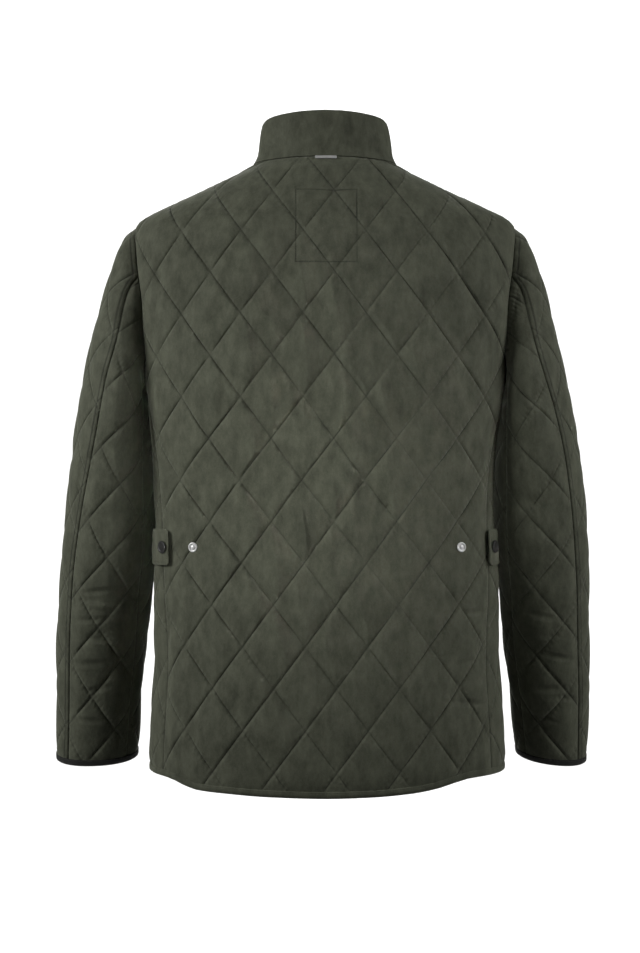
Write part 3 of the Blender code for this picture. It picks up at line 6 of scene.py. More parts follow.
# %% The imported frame
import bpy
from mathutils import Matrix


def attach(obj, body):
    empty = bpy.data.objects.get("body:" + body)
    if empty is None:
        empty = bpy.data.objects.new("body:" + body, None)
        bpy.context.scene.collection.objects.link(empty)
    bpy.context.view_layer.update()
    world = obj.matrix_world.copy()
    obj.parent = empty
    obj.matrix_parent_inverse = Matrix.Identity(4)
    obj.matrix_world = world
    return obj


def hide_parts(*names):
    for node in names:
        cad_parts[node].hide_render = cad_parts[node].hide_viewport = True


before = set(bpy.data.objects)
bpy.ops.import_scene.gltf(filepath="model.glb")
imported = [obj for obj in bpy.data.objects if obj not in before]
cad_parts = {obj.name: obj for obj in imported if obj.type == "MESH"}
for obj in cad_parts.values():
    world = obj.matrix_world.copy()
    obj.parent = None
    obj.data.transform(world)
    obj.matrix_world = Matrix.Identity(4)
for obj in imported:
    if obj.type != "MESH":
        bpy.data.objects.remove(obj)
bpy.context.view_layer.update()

# %% What the lesson uses
import math

import bmesh
import bpy
import numpy as np
from mathutils import Matrix, Vector

# %% [markdown]
# The camera stands level, almost three metres behind the jacket, with a long lens, so that the sides stay
# straight. Large lamps at both sides and in front of the jacket give soft light, a narrow one lifts the middle
# of the back, and one more lights the wall that the floor curves up into.

# %% Camera
camera_data = bpy.data.cameras.new("camera")
camera_data.lens = 85.0
camera_data.sensor_width = 36.0
camera = bpy.data.objects.new("camera", camera_data)
camera.location = (0.0063, 2.85, -0.391)
camera.rotation_euler = (math.radians(90.0), 0.0, math.radians(180.0))
bpy.context.scene.collection.objects.link(camera)
bpy.context.scene.camera = camera
bpy.context.scene.view_settings.view_transform = "Standard"

# %% Lamps
LAMPS = (
    # name, x, y, z, size, watts, spread, aim
    ("left", 2.30, 0.95, 0.60, 1.20, 56.0, 180.0, (0.0, 0.0, -0.40)),
    ("right", -2.30, 0.95, 0.60, 1.20, 40.0, 180.0, (0.0, 0.0, -0.40)),
    ("centre", 0.15, 3.90, 0.30, 0.35, 0.26, 9.0, (0.02, 0.10, -0.38)),
    ("front", 0.40, -2.30, 0.70, 1.60, 26.0, 180.0, (0.0, 0.0, -0.40)),
    ("wall", 0.00, -2.20, 2.10, 3.00, 225.0, 180.0, (0.0, -4.80, -0.80)),
)
for name, x, y, z, size, watts, spread, aim in LAMPS:
    lamp = bpy.data.lights.new(name, "AREA")
    lamp.size = size
    lamp.energy = watts
    lamp.spread = math.radians(spread)
    holder = bpy.data.objects.new(name, lamp)
    holder.location = (x, y, z)
    holder.rotation_euler = (Vector(aim) - holder.location).to_track_quat("-Z", "Y").to_euler()
    bpy.context.scene.collection.objects.link(holder)
world = bpy.data.worlds.new("studio")
world.use_nodes = True
world.node_tree.nodes["Background"].inputs["Color"].default_value = (1.0, 1.0, 1.0, 1.0)
world.node_tree.nodes["Background"].inputs["Strength"].default_value = 0.015
bpy.context.scene.world = world

# %% [markdown]
# A formula is easier to read than a picture of wires. This small class wraps one shader socket and turns the
# signs of a sum into Math nodes, and its method add makes any other node.

# %% Shader sums
class Socket:
    """One output of a shader node, which can take part in a formula."""

    def __init__(self, tree, link):
        self.tree = tree
        self.link = link

    def add(self, kind, settings=None, out=0, **inputs):
        """A new node of this kind, with its settings made before its inputs are filled or linked."""
        made = self.tree.nodes.new("ShaderNode" + kind)
        for key, value in (settings or {}).items():
            setattr(made, key, value)
        for key, value in inputs.items():
            socket = made.inputs[int(key[1:])] if key[1:].isdigit() else made.inputs[key.replace("_", " ")]
            if isinstance(value, Socket):
                self.tree.links.new(value.link, socket)
            else:
                socket.default_value = value
        return Socket(self.tree, made.outputs[out])

    def math(self, kind, other=0.0, third=0.0):
        return self.add("Math", {"operation": kind}, i0=self, i1=other, i2=third)

    def __add__(self, other):
        return self.math("ADD", other)

    def __sub__(self, other):
        return self.math("SUBTRACT", other)

    def __rsub__(self, other):
        return self.add("Math", {"operation": "SUBTRACT"}, i0=other, i1=self)

    def __mul__(self, other):
        return self.math("MULTIPLY", other)

    def __truediv__(self, other):
        return self.math("DIVIDE", other)

    __radd__ = __add__
    __rmul__ = __mul__

    def near(self, reach):
        """1 where the value is 0, falling softly to 0 at this reach."""
        settings = {"interpolation_type": "SMOOTHSTEP"}
        return self.add("MapRange", settings, i0=self, i1=0.0, i2=reach, i3=1.0, i4=0.0)

    def output(self, number):
        """Another output of the same node."""
        return Socket(self.tree, self.link.node.outputs[number])

    def noise(self, scale, detail, **more):
        """A noise from 0 to 1 at the place that this socket gives."""
        return self.add("TexNoise", Vector=self, Scale=scale, Detail=detail, **more)

    def line(self, spacing):
        """Distance from the nearest whole number, in metres."""
        return self.math("PINGPONG", 0.5) * spacing

    def mix(self, low, high):
        """A colour between two others, by this share."""
        return self.add("MixRGB", {"blend_type": "MIX"}, i0=self, i1=low, i2=high)


def start(name, **fixed):
    """A new material, its Principled shader with constants set, and a socket to start formulas from."""
    made = bpy.data.materials.new(name)
    made.use_nodes = True
    shader = made.node_tree.nodes["Principled BSDF"]
    for key, value in fixed.items():
        shader.inputs[key.replace("_", " ")].default_value = value
    return made, shader, Socket(made.node_tree, None)


def join(made, shader, colour, rough, relief, strength=1.0):
    """Links the shader's colour, roughness and bump."""
    bump = colour.add("Bump", Strength=strength, Distance=1.0, Height=relief)
    for socket, entry in ((colour, "Base Color"), (rough, "Roughness"), (bump, "Normal")):
        made.node_tree.links.new(socket.link, shader.inputs[entry])

# %% [markdown]
# The jacket's own sizes come first, in metres. The tables hold its pattern: level sections of the body, the
# neck, shoulder and armhole lines, the sections of the two sleeves, the seams, the hem and the folds.

# %% Sizes of the cloth
WALL = 0.0025  # two faces of cloth with the wadding pressed flat
PUFF = 0.0038  # extra height at the middle of a diamond
INSET = 0.0045  # from the quilted outline that the tables give to the inside face
GAP = 0.0003  # between two pieces that lie on each other
DIAMOND_WIDE = 0.0758
DIAMOND_TALL = 0.1014
SLEEVE_DIAMOND_WIDE = 0.0720
SLEEVE_DIAMOND_TALL = 0.0915
BINDING_TALL = 0.0090
BINDING_CLOTH = 0.0010
COLLAR_WALL = 0.0030
ZIP_OPENING = 0.0045  # from the centre line to a front edge
TAB_TALL = 0.0440
TAB_LONG = 0.0560
TAB_THICK = 0.0022
TAB_SNAP_RADIUS = 0.0078
BACK_SNAP_RADIUS = 0.0060
SIDES = ((1, "left"), (-1, "right"))

# %% Tables of the pattern
# Level sections of the body, quilted outline: half width at the side, back and front reach, how square,
# sideways shift, and how far the arm presses the side in.
TORSO = (
    # z, side, back, front, square, shift, press
    (0.0200, 0.0720, 0.0480, -0.0400, 2.00, 0.0000, 0.0000),
    (0.0064, 0.0885, 0.0600, -0.0500, 2.00, 0.0000, 0.0000),
    (0.0020, 0.0925, 0.0630, -0.0530, 2.00, 0.0000, 0.0000),
    (-0.0030, 0.0995, 0.0660, -0.0560, 2.00, 0.0000, 0.0000),
    (-0.0104, 0.1134, 0.0705, -0.0600, 2.00, 0.0000, 0.0000),
    (-0.0256, 0.1444, 0.0785, -0.0680, 2.00, 0.0000, 0.0000),
    (-0.0408, 0.1752, 0.0865, -0.0760, 2.03, 0.0000, 0.0000),
    (-0.0560, 0.2084, 0.0935, -0.0850, 2.08, 0.0000, 0.0000),
    (-0.0680, 0.2310, 0.0985, -0.0915, 2.14, 0.0000, 0.0000),
    (-0.0780, 0.2420, 0.1025, -0.0965, 2.20, 0.0000, 0.0000),
    (-0.0950, 0.2480, 0.1080, -0.1035, 2.28, 0.0000, 0.0000),
    (-0.1250, 0.2500, 0.1155, -0.1140, 2.38, 0.0000, 0.0000),
    (-0.1600, 0.2480, 0.1215, -0.1220, 2.45, 0.0000, 0.0000),
    (-0.2050, 0.2450, 0.1260, -0.1290, 2.50, 0.0000, 0.0020),
    (-0.2500, 0.2390, 0.1280, -0.1340, 2.55, 0.0000, 0.0080),
    (-0.3000, 0.2350, 0.1270, -0.1370, 2.65, 0.0000, 0.0205),
    (-0.3400, 0.2300, 0.1250, -0.1380, 2.70, 0.0010, 0.0195),
    (-0.3900, 0.2250, 0.1230, -0.1385, 2.75, 0.0018, 0.0185),
    (-0.4400, 0.2240, 0.1225, -0.1395, 2.75, 0.0008, 0.0170),
    (-0.4900, 0.2250, 0.1240, -0.1410, 2.75, -0.0008, 0.0145),
    (-0.5400, 0.2235, 0.1265, -0.1425, 2.70, -0.0016, 0.0080),
    (-0.5800, 0.2190, 0.1280, -0.1435, 2.70, -0.0022, 0.0020),
    (-0.6200, 0.2175, 0.1300, -0.1445, 2.65, -0.0025, 0.0000),
    (-0.6800, 0.2215, 0.1325, -0.1460, 2.60, -0.0026, 0.0000),
    (-0.7400, 0.2245, 0.1345, -0.1470, 2.60, -0.0027, 0.0000),
    (-0.8100, 0.2255, 0.1355, -0.1475, 2.60, -0.0028, 0.0000),
)

# The neck seam and the collar's top edge, by the angle from the centre back.
NECK = (
    # turn, seam_z, top_z
    (0.0, 0.0064, 0.0650),
    (30.0, 0.0060, 0.0640),
    (60.0, 0.0045, 0.0608),
    (90.0, 0.0018, 0.0545),
    (115.0, -0.0090, 0.0435),
    (135.0, -0.0260, 0.0290),
    (155.0, -0.0450, 0.0120),
    (180.0, -0.0550, 0.0020),
)
COLLAR_TOP_SIDE = 0.0790
COLLAR_TOP_BACK = 0.0520
COLLAR_TOP_FRONT = -0.0760
# How far each level of the collar has moved from its seam to its top edge.
COLLAR_LEVELS = (
    # up, moved
    (0.00, 0.00),
    (0.08, 0.20),
    (0.22, 0.46),
    (0.50, 0.66),
    (0.78, 0.84),
    (0.94, 0.97),
    (1.00, 1.12),
)

# Where the shoulder seam runs, from the neck to the sleeve.
SHOULDER = (
    # z, turn
    (0.0040, 68.0),
    (-0.0040, 80.0),
    (-0.0150, 87.0),
    (-0.0350, 89.5),
    (-0.0550, 90.5),
    (-0.0765, 91.0),
)

# The armhole seen from the side, by the angle round the sleeve: 0 is the shoulder, 90 the back.
ARMHOLE = (
    # turn, y, z
    (0.0, -0.0030, -0.0765),
    (24.0, 0.0200, -0.0850),
    (48.0, 0.0375, -0.1080),
    (72.0, 0.0485, -0.1420),
    (96.0, 0.0560, -0.1860),
    (120.0, 0.0550, -0.2350),
    (144.0, 0.0400, -0.2790),
    (162.0, 0.0200, -0.2970),
    (180.0, 0.0000, -0.3030),
    (198.0, -0.0190, -0.2960),
    (216.0, -0.0370, -0.2770),
    (240.0, -0.0530, -0.2350),
    (264.0, -0.0580, -0.1890),
    (288.0, -0.0530, -0.1440),
    (312.0, -0.0420, -0.1080),
    (336.0, -0.0240, -0.0850),
    (360.0, -0.0030, -0.0765),
)

# The sleeve leaves the body outwards before it turns down: how far it swells at the shoulder and under the
# arm, at shares of the way from the armhole to the first section.
SLEEVE_HEAD = (
    # share, top_out, top_up, under_out
    (0.22, 0.0065, 0.0015, 0.0034),
    (0.50, 0.0055, 0.0000, 0.0040),
)

# Sections of each sleeve after its head, quilted outline: the outer and the inner point, the middle's
# place from front to back, half depth, how square, and how far the section leans down at the back.
SLEEVE_LEFT = (
    # outer_x, outer_z, inner_x, inner_z, middle_y, depth, square, lean
    (0.2770, -0.1600, 0.2170, -0.3300, 0.0040, 0.0770, 1.92, 0.0),
    (0.2948, -0.2210, 0.2146, -0.3580, 0.0040, 0.0805, 1.92, 0.0),
    (0.3095, -0.2930, 0.2110, -0.3970, 0.0030, 0.0800, 1.95, 0.0),
    (0.3213, -0.3750, 0.2086, -0.4430, 0.0010, 0.0770, 2.05, 1.0),
    (0.3300, -0.4550, 0.2104, -0.4900, -0.0030, 0.0715, 2.15, 3.0),
    (0.3368, -0.5280, 0.2190, -0.5380, -0.0100, 0.0655, 2.15, 5.0),
    (0.3417, -0.6000, 0.2268, -0.6000, -0.0200, 0.0590, 2.15, 7.0),
    (0.3432, -0.6750, 0.2354, -0.6730, -0.0330, 0.0525, 2.15, 9.0),
    (0.3463, -0.7530, 0.2395, -0.7490, -0.0470, 0.0470, 2.15, 10.0),
)
SLEEVE_RIGHT = (
    # outer_x, outer_z, inner_x, inner_z, middle_y, depth, square, lean
    (0.2775, -0.1600, 0.2168, -0.3300, 0.0040, 0.0770, 1.92, 0.0),
    (0.2930, -0.2210, 0.2140, -0.3580, 0.0040, 0.0805, 1.92, 0.0),
    (0.3100, -0.2930, 0.2104, -0.3970, 0.0030, 0.0800, 1.95, 0.0),
    (0.3235, -0.3750, 0.2090, -0.4430, 0.0010, 0.0770, 2.05, 1.0),
    (0.3321, -0.4550, 0.2122, -0.4900, -0.0030, 0.0715, 2.15, 3.0),
    (0.3353, -0.5280, 0.2215, -0.5380, -0.0100, 0.0655, 2.15, 5.0),
    (0.3365, -0.6000, 0.2272, -0.5980, -0.0200, 0.0590, 2.15, 7.0),
    (0.3381, -0.6750, 0.2370, -0.6690, -0.0330, 0.0520, 2.15, 9.0),
    (0.3370, -0.7555, 0.2447, -0.7450, -0.0470, 0.0460, 2.15, 10.0),
)

# The seam at the back of each arm, and each inner seam, by the share of the way up from the cuff.
SLEEVE_SEAMS = (
    # up, felled_left, felled_right, inner_left, inner_right
    (0.00, 45.0, 45.0, 144.0, 141.0),
    (0.10, 48.0, 47.5, 145.0, 143.0),
    (0.20, 49.5, 49.0, 145.0, 145.0),
    (0.30, 50.5, 52.0, 144.0, 145.0),
    (0.40, 52.0, 54.0, 140.0, 143.0),
    (0.50, 57.0, 54.5, 134.5, 138.0),
    (0.60, 63.5, 56.0, 131.5, 134.0),
    (0.70, 67.5, 60.5, 132.0, 133.5),
    (0.80, 68.5, 66.5, 135.0, 135.5),
    (0.90, 68.0, 68.5, 139.5, 139.5),
    (1.00, 72.0, 72.0, 144.0, 144.0),
)

# The side seam's angle from the centre back, under the armhole.
SIDE_SEAM = (
    # z, turn
    (-0.3300, 75.0),
    (-0.3900, 72.5),
    (-0.4600, 71.0),
    (-0.5600, 70.5),
    (-0.8100, 70.5),
)

# Where something presses the wadding flat: the arm against the side, and the waist tab.
SQUEEZED = (
    # x, y, z, reach_x, reach_y, reach_z, share
    (0.2120, 0.0000, -0.4000, 0.0400, 0.0560, 0.1450, 0.82),
    (0.2000, 0.0600, -0.4775, 0.0400, 0.0420, 0.0360, 0.92),
    (0.2180, -0.0300, -0.3000, 0.0400, 0.0400, 0.0450, 0.95),
)

# The jacket's lowest edge, by the angle from the centre back towards the wearer's left.
HEM = (
    # turn, z
    (-180.0, -0.7570),
    (-90.0, -0.7585),
    (-70.0, -0.7592),
    (-61.0, -0.7605),
    (-56.0, -0.7640),
    (-49.0, -0.7705),
    (-40.0, -0.7755),
    (-22.0, -0.7795),
    (0.0, -0.7810),
    (30.0, -0.7792),
    (46.0, -0.7762),
    (56.0, -0.7735),
    (61.0, -0.7690),
    (65.0, -0.7640),
    (70.0, -0.7610),
    (90.0, -0.7590),
    (180.0, -0.7570),
)

# Soft folds and creases: where each one is on its flat piece, which way it runs, its half sizes and height.
FOLDS = {
    # piece: u, v, direction, half_long, half_wide, height
    "back": (
        (0.095, 0.200, 86.0, 0.110, 0.020, 0.0030),
        (-0.020, 0.230, 92.0, 0.090, 0.018, 0.0022),
        (-0.110, 0.190, 97.0, 0.100, 0.020, 0.0028),
        (0.150, 0.330, 78.0, 0.100, 0.022, 0.0028),
        (-0.150, 0.350, 102.0, 0.100, 0.022, 0.0026),
        (0.130, 0.150, 70.0, 0.060, 0.011, 0.0022),
        (0.165, 0.160, 64.0, 0.055, 0.009, -0.0020),
        (-0.150, 0.150, 112.0, 0.060, 0.011, 0.0022),
        (-0.180, 0.165, 116.0, 0.050, 0.009, -0.0020),
        (0.055, 0.330, 84.0, 0.090, 0.014, -0.0018),
        (-0.060, 0.400, 95.0, 0.100, 0.015, -0.0018),
        (0.190, 0.640, 80.0, 0.060, 0.010, 0.0020),
        (0.168, 0.690, 84.0, 0.050, 0.008, -0.0018),
        (-0.190, 0.640, 100.0, 0.060, 0.010, 0.0020),
        (-0.170, 0.700, 96.0, 0.050, 0.008, -0.0016),
    ),
    "under_sleeve_left": (
        (0.110, 0.330, 14.0, 0.050, 0.012, -0.0030),
        (0.100, 0.225, 8.0, 0.050, 0.012, -0.0026),
        (0.105, 0.125, -10.0, 0.045, 0.012, -0.0024),
        (0.120, 0.420, 22.0, 0.050, 0.009, -0.0026),
        (0.110, 0.385, 12.0, 0.045, 0.008, 0.0022),
        (0.115, 0.290, -6.0, 0.045, 0.008, 0.0020),
        (0.105, 0.180, 16.0, 0.040, 0.008, -0.0022),
        (0.100, 0.070, -12.0, 0.040, 0.008, 0.0018),
    ),
    "under_sleeve_right": (
        (0.110, 0.345, 12.0, 0.050, 0.012, -0.0030),
        (0.105, 0.255, -8.0, 0.050, 0.012, -0.0028),
        (0.100, 0.150, 12.0, 0.045, 0.012, -0.0024),
        (0.120, 0.420, 18.0, 0.050, 0.009, -0.0024),
        (0.110, 0.300, 6.0, 0.045, 0.008, 0.0022),
        (0.100, 0.205, -14.0, 0.040, 0.008, -0.0024),
        (0.100, 0.090, 10.0, 0.040, 0.008, 0.0018),
    ),
    "upper_sleeve_left": (
        (-0.100, 0.330, -10.0, 0.050, 0.014, -0.0026),
        (-0.060, 0.300, 4.0, 0.060, 0.010, 0.0020),
        (-0.130, 0.380, -16.0, 0.055, 0.010, -0.0022),
        (-0.100, 0.200, 10.0, 0.050, 0.010, -0.0020),
        (0.020, 0.400, 20.0, 0.040, 0.010, -0.0016),
    ),
    "upper_sleeve_right": (
        (-0.100, 0.320, 10.0, 0.050, 0.014, -0.0026),
        (-0.060, 0.280, -6.0, 0.060, 0.010, 0.0020),
        (-0.130, 0.370, 14.0, 0.055, 0.010, -0.0022),
        (-0.100, 0.190, -10.0, 0.050, 0.010, -0.0020),
        (0.020, 0.410, -18.0, 0.040, 0.010, -0.0016),
    ),
    "front_left": (
        (0.150, 0.330, 80.0, 0.100, 0.022, 0.0024),
        (0.120, 0.160, 78.0, 0.070, 0.012, 0.0020),
        (0.160, 0.420, 84.0, 0.090, 0.013, -0.0020),
        (0.060, 0.560, 88.0, 0.110, 0.016, 0.0022),
        (0.200, 0.640, 82.0, 0.060, 0.010, 0.0018),
    ),
    "front_right": (
        (-0.150, 0.330, 100.0, 0.100, 0.022, 0.0024),
        (-0.130, 0.170, 102.0, 0.070, 0.012, 0.0020),
        (-0.150, 0.440, 96.0, 0.090, 0.013, -0.0020),
        (-0.070, 0.600, 92.0, 0.110, 0.016, 0.0022),
        (-0.200, 0.650, 98.0, 0.060, 0.010, 0.0018),
    ),
}

# Where the diamonds of each piece start, as a crossing of two quilting lines, and how far they lean with v.
QUILT = {
    # piece: u, v, wide, tall, lean
    "back": (-0.0113, 0.3444, DIAMOND_WIDE, DIAMOND_TALL, 0.0),
    "front_left": (0.0379, 0.3444, DIAMOND_WIDE, DIAMOND_TALL, 0.0),
    "front_right": (-0.0379, 0.3444, DIAMOND_WIDE, DIAMOND_TALL, 0.0),
    "under_sleeve_left": (0.1000, 0.2770, 0.0640, SLEEVE_DIAMOND_TALL, 0.14),
    "upper_sleeve_left": (0.0000, 0.1000, SLEEVE_DIAMOND_WIDE, SLEEVE_DIAMOND_TALL, 0.0),
    "under_sleeve_right": (0.0790, 0.2830, SLEEVE_DIAMOND_WIDE, SLEEVE_DIAMOND_TALL, 0.11),
    "upper_sleeve_right": (0.0000, 0.1000, SLEEVE_DIAMOND_WIDE, SLEEVE_DIAMOND_TALL, 0.0),
}

# %% [markdown]
# A table has few rows, so a curve is drawn through them that never swings past a row. A skin is the garment's
# inside face as a map: it takes a place on the flat cloth and gives its place in space.

# %% Curves
def columns(table):
    return np.array(table, dtype=float).T


def curve(xs, ys, x):
    """A smooth curve through the rows of a table, which never swings past them."""
    xs = np.asarray(xs, dtype=float)
    ys = np.asarray(ys, dtype=float)
    x = np.asarray(x, dtype=float)
    if xs[0] > xs[-1]:
        xs = xs[::-1]
        ys = ys[::-1]
    wide = (1,) * (ys.ndim - 1)
    step = np.diff(xs).reshape((-1,) + wide)
    rise = np.diff(ys, axis=0) / step
    slope = np.empty_like(ys)
    slope[0] = rise[0]
    slope[-1] = rise[-1]
    before = rise[:-1]
    after = rise[1:]
    same = before * after > 0
    near = 2 * step[1:] + step[:-1]
    far = step[1:] + 2 * step[:-1]
    safe_before = np.where(same, before, 1.0)
    safe_after = np.where(same, after, 1.0)
    slope[1:-1] = np.where(same, (near + far) / (near / safe_before + far / safe_after), 0.0)
    k = np.clip(np.searchsorted(xs, x) - 1, 0, len(xs) - 2)
    wide = x.shape + wide
    h = (xs[k + 1] - xs[k]).reshape(wide)
    t = np.clip((x - xs[k]) / (xs[k + 1] - xs[k]), 0.0, 1.0).reshape(wide)
    past = (x - np.clip(x, xs[0], xs[-1])).reshape(wide)
    value = ys[k] * (1 + 2 * t) * (1 - t) ** 2 + slope[k] * h * t * (1 - t) ** 2
    value = value + ys[k + 1] * t**2 * (3 - 2 * t) + slope[k + 1] * h * t**2 * (t - 1)
    return value + past * np.where(past < 0, slope[k], slope[k + 1])


def summed(steps):
    """Distance run at each node of a line, from the lengths of its steps."""
    return np.concatenate([np.zeros((1,) + steps.shape[1:]), np.cumsum(steps, axis=0)])


def unit(vectors):
    return vectors / np.maximum(np.linalg.norm(vectors, axis=-1, keepdims=True), 1e-12)


def oval_reach(turn, across, along, square):
    """Distance from the middle of an oval to its edge at an angle, for its two half sizes."""
    a = np.abs(np.sin(turn)) / across
    b = np.abs(np.cos(turn)) / along
    return (a**square + b**square) ** (-1.0 / square)

# %% A skin
TURNS = np.arange(-240.0, 242.0, 2.0)
ROW_STEP = 0.004  # between two rows


class Skin:
    """The garment's inside face as a map from flat cloth to space.

    Its points come in rows at equal steps of v, with a column for each turn in degrees. On the flat cloth
    u is the distance round the row from the turn 0, and v the distance along.
    """

    STEP = 0.004
    REACH = 0.76

    def __init__(self, points, v0, outward):
        self.v0 = v0
        self.outward = outward
        steps = np.linalg.norm(np.diff(points, axis=1), axis=2)
        arc = summed(steps.T).T
        zero = int(np.argmin(np.abs(TURNS)))
        self.arc = arc - arc[:, zero : zero + 1]
        u = np.arange(-self.REACH, self.REACH + self.STEP, self.STEP)
        self.grid = np.empty((len(points), len(u), 3))
        for row in range(len(points)):
            for axis in range(3):
                self.grid[row, :, axis] = np.interp(u, self.arc[row], points[row, :, axis])

    def mixed(self, table, row, col):
        row = np.clip(row, 0, table.shape[0] - 1.001)
        col = np.clip(col, 0, table.shape[1] - 1.001)
        r = row.astype(int)
        c = col.astype(int)
        extra = (1,) * (table.ndim - 2)
        fr = (row - r).reshape(row.shape + extra)
        fc = (col - c).reshape(col.shape + extra)
        low = table[r, c] * (1 - fc) + table[r, c + 1] * fc
        high = table[r + 1, c] * (1 - fc) + table[r + 1, c + 1] * fc
        return low * (1 - fr) + high * fr

    def flat(self, turn, v):
        """(u, v) of points at these turns."""
        turn, v = np.broadcast_arrays(np.asarray(turn, float), np.asarray(v, float))
        col = (turn - TURNS[0]) / (TURNS[1] - TURNS[0])
        return np.stack([self.mixed(self.arc, (v - self.v0) / ROW_STEP, col), v], axis=-1)

    def point(self, flat):
        flat = np.asarray(flat, float)
        row = (flat[..., 1] - self.v0) / ROW_STEP
        return self.mixed(self.grid, row, (flat[..., 0] + self.REACH) / self.STEP)

    def slopes(self, flat, reach=0.004):
        flat = np.asarray(flat, float)
        du = np.array([reach, 0.0])
        dv = np.array([0.0, reach])
        along_u = self.point(flat + du) - self.point(flat - du)
        along_v = self.point(flat + dv) - self.point(flat - dv)
        return along_u / (2 * reach), along_v / (2 * reach)

    def normal(self, flat):
        along_u, along_v = self.slopes(flat)
        return unit(np.cross(along_u, along_v)) * self.outward

# %% The body's skin
PRESS_REACH = 0.042  # half depth of the place where the arm presses the side in


def torso_rows():
    """The body's sections at even steps down, smoothed along the shoulder line as well as in height."""
    rows = np.array(TORSO)
    run = summed(np.hypot(np.diff(rows[:, 0]), np.diff(rows[:, 1])))
    fine = curve(run, rows, np.linspace(0.0, run[-1], 900))
    order = np.argsort(fine[:, 0])
    return fine[order]


TORSO_FINE = torso_rows()


def torso_point(turn, z):
    """Inside face of the body. The turn is in degrees from the centre back towards the wearer's left."""
    turn, z = np.broadcast_arrays(np.radians(turn), np.asarray(z, float))
    side, back, front, square, shift, press = (
        np.interp(z, TORSO_FINE[:, 0], TORSO_FINE[:, k]) for k in range(1, 7)
    )
    depth = np.where(np.cos(turn) > 0, back, -front) - INSET
    reach = oval_reach(turn, side - INSET, depth, square)
    x = reach * np.sin(turn)
    y = reach * np.cos(turn)
    x = x - np.sign(x) * press * np.exp(-((y / PRESS_REACH) ** 2))
    return np.stack([x + shift, y, z], axis=-1)


def body_skin(centre, outward):
    v = np.arange(-0.018, 0.806, ROW_STEP)
    turns = centre + TURNS if centre == 0 else centre - TURNS
    return Skin(torso_point(turns[None, :], -v[:, None]), v[0], outward)


BACK_SKIN = body_skin(0.0, 1.0)
FRONT_SKIN = body_skin(180.0, -1.0)
print("body skin", BACK_SKIN.grid.shape)

# %% The sleeves' skins
def armhole_loop(turn):
    """Points of the left armhole on the body's inside face, by the angle round the sleeve."""
    turns, ys, zs = columns(ARMHOLE)
    wrapped_turns = np.concatenate([turns[:-1] - 360, turns, turns[1:] + 360])
    wrapped = np.stack([np.concatenate([c[:-1], c, c[1:]]) for c in (ys, zs)], axis=-1)
    y, z = curve(wrapped_turns, wrapped, turn).T
    fan = np.arange(20.0, 161.0, 1.0)
    around = np.empty(len(y))
    for k in range(len(y)):
        ring = torso_point(fan, z[k])
        around[k] = np.interp(-y[k], -ring[:, 1], fan)
    return torso_point(around, z), around


def arm_turn(turn):
    """Turns over 180 degrees as the same place counted the other way."""
    return np.where(turn > 180.0, turn - 360.0, turn)


def sleeve_ring(row):
    outer_x, outer_z, inner_x, inner_z, middle_y, depth, square, lean = row
    outer = np.array([outer_x, middle_y, outer_z])
    inner = np.array([inner_x, middle_y, inner_z])
    middle = (outer + inner) / 2
    half = np.linalg.norm(outer - inner) / 2
    to_outer = (outer - middle) / half
    back = np.array([0.0, math.cos(math.radians(lean)), -math.sin(math.radians(lean))])
    turn = np.radians(TURNS)
    reach = oval_reach(turn, depth - INSET, half - INSET, square)
    return middle + (reach * np.cos(turn))[:, None] * to_outer + (reach * np.sin(turn))[:, None] * back


UNDER_FROM, UNDER_OVER = 95.0, 60.0  # turns over which the sleeve moves out to clear the body's wall


def sleeve_columns(table):
    """Lines down the left-hand sleeve, from the armhole to the cuff, one for each turn."""
    loop, _ = armhole_loop(TURNS)
    under = np.clip((np.abs(arm_turn(TURNS % 360.0)) - UNDER_FROM) / UNDER_OVER, 0.0, 1.0)
    loop[:, 0] += (2 * WALL + GAP) * under * under * (3 - 2 * under)
    first = sleeve_ring(table[0])
    top = (1 + np.cos(np.radians(TURNS))) / 2
    rings = [loop]
    for share, top_out, top_up, under_out in SLEEVE_HEAD:
        swell = np.stack([top * top_out + (1 - top) * under_out, 0 * top, top * top_up], axis=-1)
        rings.append(loop + (first - loop) * share + swell)
    rings += [sleeve_ring(row) for row in table]
    rings = np.array(rings)
    run = summed(np.linalg.norm(np.diff(rings, axis=0), axis=2).mean(axis=1))
    fine = np.linspace(0.0, run[-1], 260)
    return curve(run, rings, fine)


def sleeve_skin(table, side):
    """The skin of one sleeve and each column's length. v is the distance up from the cuff's edge."""
    lines = sleeve_columns(table)[::-1]
    steps = np.linalg.norm(np.diff(lines, axis=0), axis=2)
    length = summed(steps)
    v = np.arange(-0.016, 0.74, ROW_STEP)
    points = np.empty((len(v), len(TURNS), 3))
    for col in range(len(TURNS)):
        for axis in range(3):
            points[:, col, axis] = np.interp(v, length[:, col], lines[:, col, axis])
        top = unit(lines[-1, col] - lines[-6, col])
        foot = unit(lines[0, col] - lines[6, col])
        above = np.maximum(v - length[-1, col], 0.0)[:, None]
        below = np.maximum(-v, 0.0)[:, None]
        points[:, col] += above * top + below * foot
    points[:, :, 0] *= side
    return Skin(points, v[0], side), length[-1]


SKIN_LEFT, LENGTH_LEFT = sleeve_skin(SLEEVE_LEFT, 1.0)
SKIN_RIGHT, LENGTH_RIGHT = sleeve_skin(SLEEVE_RIGHT, -1.0)
SLEEVES = {1: (SKIN_LEFT, LENGTH_LEFT), -1: (SKIN_RIGHT, LENGTH_RIGHT)}

# %% [markdown]
# A seam is a line that two panels share. Each run below gives the seam's nodes three times: their place on the
# flat cloth, their place in space, and the arrow through the cloth's thickness there.

# %% Neck, hem and collar lines
MITRE_LEAST = 0.35  # keeps the arrow finite where two walls fold back on each other
MITRE_LONGEST = 2.6  # in walls


